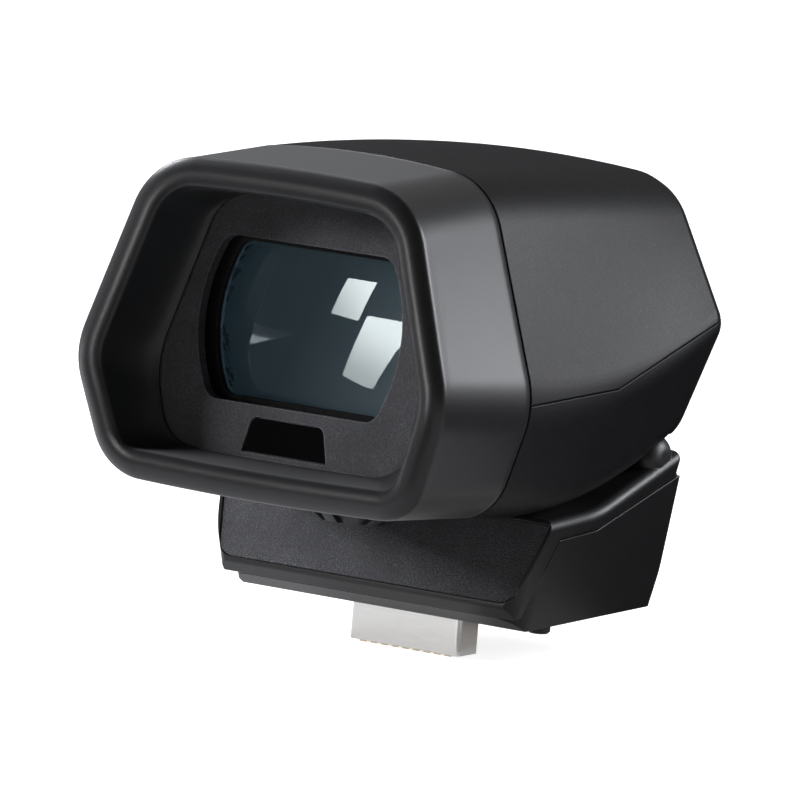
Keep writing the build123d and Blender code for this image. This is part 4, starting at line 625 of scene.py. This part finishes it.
def makeRibbon():
    path, halfThick = ribbonPath(), ribbonForm["thickness"] / 2.0
    low, high = ribbonForm["across"]
    points, faces = [], []
    for index, point in enumerate(path):
        way = (path[min(index + 1, len(path) - 1)] - path[max(index - 1, 0)]).normalized()
        side = Vector((-way.y, way.x)) * halfThick
        for x, offset in ((low, side), (high, side), (high, -side), (low, -side)):
            points.append((x / 1000.0, (point.x + offset.x) / 1000.0, (point.y + offset.y) / 1000.0))
    for index in range(len(path) - 1):
        a, b = 4 * index, 4 * index + 4
        faces += [(a + k, a + (k + 1) % 4, b + (k + 1) % 4, b + k) for k in range(4)]
    end = 4 * (len(path) - 1)
    faces += [(3, 2, 1, 0), (end, end + 1, end + 2, end + 3)]
    mesh = bpy.data.meshes.new("hinge_ribbon")
    mesh.from_pydata(points, [], faces)
    mesh.update()
    piece = addPiece("hinge_ribbon", mesh, "flexSkin")
    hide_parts("hinge_flex")
    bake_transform(piece)


makeRibbon()
print("ribbon made")

# studio

# metres; the glows are what the camera and reflections see of the floor
studio = {
    "floorHeight": cadBox[0].z - 0.00005, "floorHalf": 9.0, "cardLift": 0.0002,
    "floorColour": (0.5, 0.5, 0.5), "cloudShade": 0.985, "floorRoughness": 0.9,
    "floorGlow": 0.86, "mirroredGlow": 0.3, "ambient": 0.09,
}


def quadMesh(name, corners, material):
    mesh = bpy.data.meshes.new(name)
    mesh.from_pydata([tuple(c) for c in corners], [], [tuple(range(len(corners)))])
    mesh.materials.append(material)
    card = bpy.data.objects.new(name, mesh)
    bpy.context.scene.collection.objects.link(card)
    return card


def floorMaterial():
    material, tree, shader = startMaterial("studioFloor")
    tone = placeGroup(tree, mouldGrain, {"Grain Size": 3.0, "Clumping": 0.3})
    cloudColour = tuple(studio["cloudShade"] * c for c in studio["floorColour"])
    colour = blendColours(tree, tone["Cloud"], studio["floorColour"], cloudColour)
    plug(tree, colour, shader.inputs["Base Color"])
    shader.inputs["Roughness"].default_value = studio["floorRoughness"]
    shader.inputs["Specular IOR Level"].default_value = 0.0
    path = addNode(tree, "ShaderNodeLightPath")
    seen = mathNode(tree, "MAXIMUM", path.outputs["Is Camera Ray"], path.outputs["Is Transmission Ray"])
    mirrored = mathNode(tree, "MULTIPLY", path.outputs["Is Glossy Ray"], studio["mirroredGlow"])
    shader.inputs["Emission Color"].default_value = (1.0, 1.0, 1.0, 1.0)
    direct = mathNode(tree, "MULTIPLY", seen, studio["floorGlow"])
    plug(tree, mathNode(tree, "MAXIMUM", direct, mirrored), shader.inputs["Emission Strength"])
    return material


half = studio["floorHalf"]
floorPlan = ((-half, -half), (half, -half), (half, half), (-half, half))
quadMesh("studioFloor", [(x, y, studio["floorHeight"]) for x, y in floorPlan], floorMaterial())

world = bpy.data.worlds.new("studioWorld")
bpy.context.scene.world = world
world.use_nodes = True
worldTree = world.node_tree
worldTree.nodes.clear()
worldLight = addNode(worldTree, "ShaderNodeBackground")
worldOut = addNode(worldTree, "ShaderNodeOutputWorld")
worldPath = addNode(worldTree, "ShaderNodeLightPath")
pathOut = worldPath.outputs
worldSeen = mathNode(worldTree, "MAXIMUM", pathOut["Is Camera Ray"], pathOut["Is Glossy Ray"])
worldSeen = mathNode(worldTree, "MAXIMUM", worldSeen, pathOut["Is Transmission Ray"])
worldLight.inputs["Color"].default_value = (1.0, 1.0, 1.0, 1.0)
worldStrength = spread(worldTree, worldSeen, 0.0, 1.0, studio["ambient"], 1.0)
plug(worldTree, worldStrength, worldLight.inputs["Strength"])
worldTree.links.new(worldLight.outputs[0], worldOut.inputs[0])

# corners in metres; each softbox fades from its bright place to its dim one, where a share of its glow is left
softboxes = {
    "softboxUpper": {
        "glow": 22.0,
        "fade": {"dim": (-0.41, -0.83, 0.1), "bright": (-0.25, -0.87, 0.27), "share": 0.45},
        "corners": [(-0.3544, -0.8368, 0.259), (-0.2305, -0.8773, 0.2683), (-0.283, -0.8868, 0.1181),
                    (-0.3997, -0.8394, 0.1259)]},
    "softboxLower": {
        "glow": 22.0,
        "fade": {"dim": (-0.071, -0.285, -0.003), "bright": (-0.041, -0.293, 0.077), "share": 0.4},
        "corners": [(-0.0658, -0.2886, 0.0773), (-0.0169, -0.2976, 0.0775), (-0.0148, -0.2994, 0.0533),
                    (-0.0504, -0.2898, -0.0097), (-0.0907, -0.2802, 0.0032)]},
}


def glowMaterial(name, strength, tint=(1.0, 0.95, 0.93), fade=None):
    material, tree, shader = startMaterial(name)
    shader.inputs["Base Color"].default_value = (0.0, 0.0, 0.0, 1.0)
    shader.inputs["Specular IOR Level"].default_value = 0.0
    shader.inputs["Emission Color"].default_value = (*tint, 1.0)
    shader.inputs["Emission Strength"].default_value = strength
    if fade:
        dim, bright = Vector(fade["dim"]), Vector(fade["bright"])
        way = (bright - dim).normalized()
        place = addNode(tree, "ShaderNodeTexCoord")
        along = addNode(tree, "ShaderNodeVectorMath", operation="DOT_PRODUCT")
        plug(tree, place.outputs["Object"], along.inputs[0])
        along.inputs[1].default_value = way
        dimGlow = fade["share"] * strength
        level = spread(tree, along.outputs["Value"], dim.dot(way), bright.dot(way), dimGlow, strength)
        plug(tree, level, shader.inputs["Emission Strength"])
    return material


# only reflections see the softboxes and the dim cards round them
def hideFromAllButGlossy(card):
    card.visible_camera = False
    card.visible_diffuse = False
    card.visible_transmission = False
    card.visible_shadow = False


for boxName, box in softboxes.items():
    card = quadMesh(boxName, box["corners"], glowMaterial(boxName, box["glow"], fade=box["fade"]))
    hideFromAllButGlossy(card)


def skyPoint(azimuth, elevation, radius):
    turn, up = math.radians(azimuth), math.radians(elevation)
    level = radius * math.cos(up)
    return (level * math.sin(turn), -level * math.cos(turn), radius * math.sin(up))


skyForm = {"radius": 3.0, "steps": 12, "rows": 4}


def skyCard(name, look):
    mesh = bpy.data.meshes.new(name)
    points, faces = [], []
    (fromAzimuth, toAzimuth), (fromElevation, toElevation) = look["azimuth"], look["elevation"]
    steps, rows = skyForm["steps"], skyForm["rows"]
    for i in range(steps + 1):
        azimuth = fromAzimuth + (toAzimuth - fromAzimuth) * i / steps
        for j in range(rows + 1):
            elevation = fromElevation + (toElevation - fromElevation) * j / rows
            points.append(skyPoint(azimuth, elevation, skyForm["radius"]))
    for i in range(steps):
        for j in range(rows):
            a = (rows + 1) * i + j
            faces.append((a, a + 1, a + rows + 2, a + rows + 1))
    mesh.from_pydata(points, [], faces)
    mesh.materials.append(glowMaterial(name, look["glow"], look.get("tint", (1.0, 1.0, 1.0))))
    card = bpy.data.objects.new(name, mesh)
    bpy.context.scene.collection.objects.link(card)
    hideFromAllButGlossy(card)


# azimuth 0 is in front of the eyecup, 90 on the plug's right, 180 behind; degrees
skyCards = {
    "cardFront": {"azimuth": (-75, 5), "elevation": (-2, 40), "glow": 0.14, "tint": (1.0, 1.0, 0.98)},
    "cardFarLeft": {"azimuth": (-130, -75), "elevation": (-2, 40), "glow": 0.2},
    "cardFarRight": {"azimuth": (5, 70), "elevation": (-2, 40), "glow": 0.1},
    "cardRightLow": {"azimuth": (70, 146), "elevation": (-2, 14), "glow": 0.7},
    "cardRight": {"azimuth": (70, 146), "elevation": (14, 40), "glow": 0.28},
    "cardRightRear": {"azimuth": (146, 160), "elevation": (-2, 40), "glow": 0.08},
    "cardBehind": {"azimuth": (160, 232), "elevation": (-2, 24), "glow": 0.01},
    "cardBehindHigh": {"azimuth": (160, 232), "elevation": (24, 58), "glow": 0.4},
    "cardOverhead": {"azimuth": (-128, 232), "elevation": (58, 89), "glow": 0.06},
    "cardOverRight": {"azimuth": (-128, 160), "elevation": (40, 58), "glow": 0.1},
}
for cardName, look in skyCards.items():
    skyCard(cardName, look)


# dim cards that lie on the floor: glow, and corners as (x, y) in metres
cardHeight = studio["floorHeight"] + studio["cardLift"]
floorCards = {
    "cardFloorBehind": (0.0, [(-0.6, 0.03), (1.6, 0.03), (1.6, 2.6), (-0.6, 2.6)]),
    "cardFloorRight": (0.3, [(0.014, -0.04), (0.05, -0.05), (0.05, 0.03), (0.014, 0.03)]),
    "cardFloorFront": (0.15, [(-1.8, -2.6), (0.6, -2.6), (0.06, -0.1), (-0.25, -0.1)]),
}
for cardName, (glow, corners) in floorCards.items():
    material = glowMaterial(cardName, glow)
    hideFromAllButGlossy(quadMesh(cardName, [(x, y, cardHeight) for x, y in corners], material))

# places and sizes in metres, power in watts; bodyOnly lights the colour of a surface and not its gloss
areaLights = {
    "sideLight": {"place": (0.83, 0.7, 0.5), "size": (0.6, 0.45), "power": 14.0},
    "leftLight": {"place": (-0.83, 0.2, 0.6), "size": (0.3, 0.3), "power": 7.5},
    "lowLeftLight": {"place": (-0.83, -0.48, 0.3), "size": (0.3, 0.2), "power": 25.0, "bodyOnly": True},
    "backLight": {"place": (-0.6, 0.35, 0.85), "size": (0.5, 0.5), "power": 0.6},
}
lampColour = (0.94, 0.955, 1.0)
lampAim = (0.0, 0.0, 0.03)
for lampName, lamp in areaLights.items():
    data = bpy.data.lights.new(lampName, "AREA")
    data.shape = "RECTANGLE"
    data.size, data.size_y = lamp["size"]
    data.energy = lamp["power"]
    data.color = lampColour
    lampObject = bpy.data.objects.new(lampName, data)
    bpy.context.scene.collection.objects.link(lampObject)
    lampObject.visible_camera = False
    lampObject.visible_glossy = not lamp.get("bodyOnly", False)
    aim = Vector(lampAim) - Vector(lamp["place"])
    turn = aim.to_track_quat("-Z", "Y").to_matrix().to_4x4()
    lampObject.matrix_world = Matrix.Translation(lamp["place"]) @ turn
print("studio lit")

# camera

cameraPlace = {
    "at": (0.7358981, -1.2206021, 0.2223312),
    "right": (0.8459556, 0.5270318, 0.0812187),
    "up": (-0.1384918, 0.0700590, 0.9878825),
    "back": (0.5149554, -0.8469529, 0.1322564),
    "lens": 405.09,
}
cameraData = bpy.data.cameras.new("photoCamera")
cameraData.sensor_fit = "HORIZONTAL"
cameraData.sensor_width = 36.0
cameraData.lens = cameraPlace["lens"]
cameraData.clip_start, cameraData.clip_end = 0.01, 60.0
camera = bpy.data.objects.new("photoCamera", cameraData)
bpy.context.scene.collection.objects.link(camera)
columns = [cameraPlace[key] for key in ("right", "up", "back", "at")]
camera.matrix_world = Matrix([[columns[c][r] for c in range(4)] for r in range(3)] + [[0.0, 0.0, 0.0, 1.0]])
bpy.context.scene.camera = camera
bpy.context.scene.view_settings.view_transform = "Standard"
print("camera set")
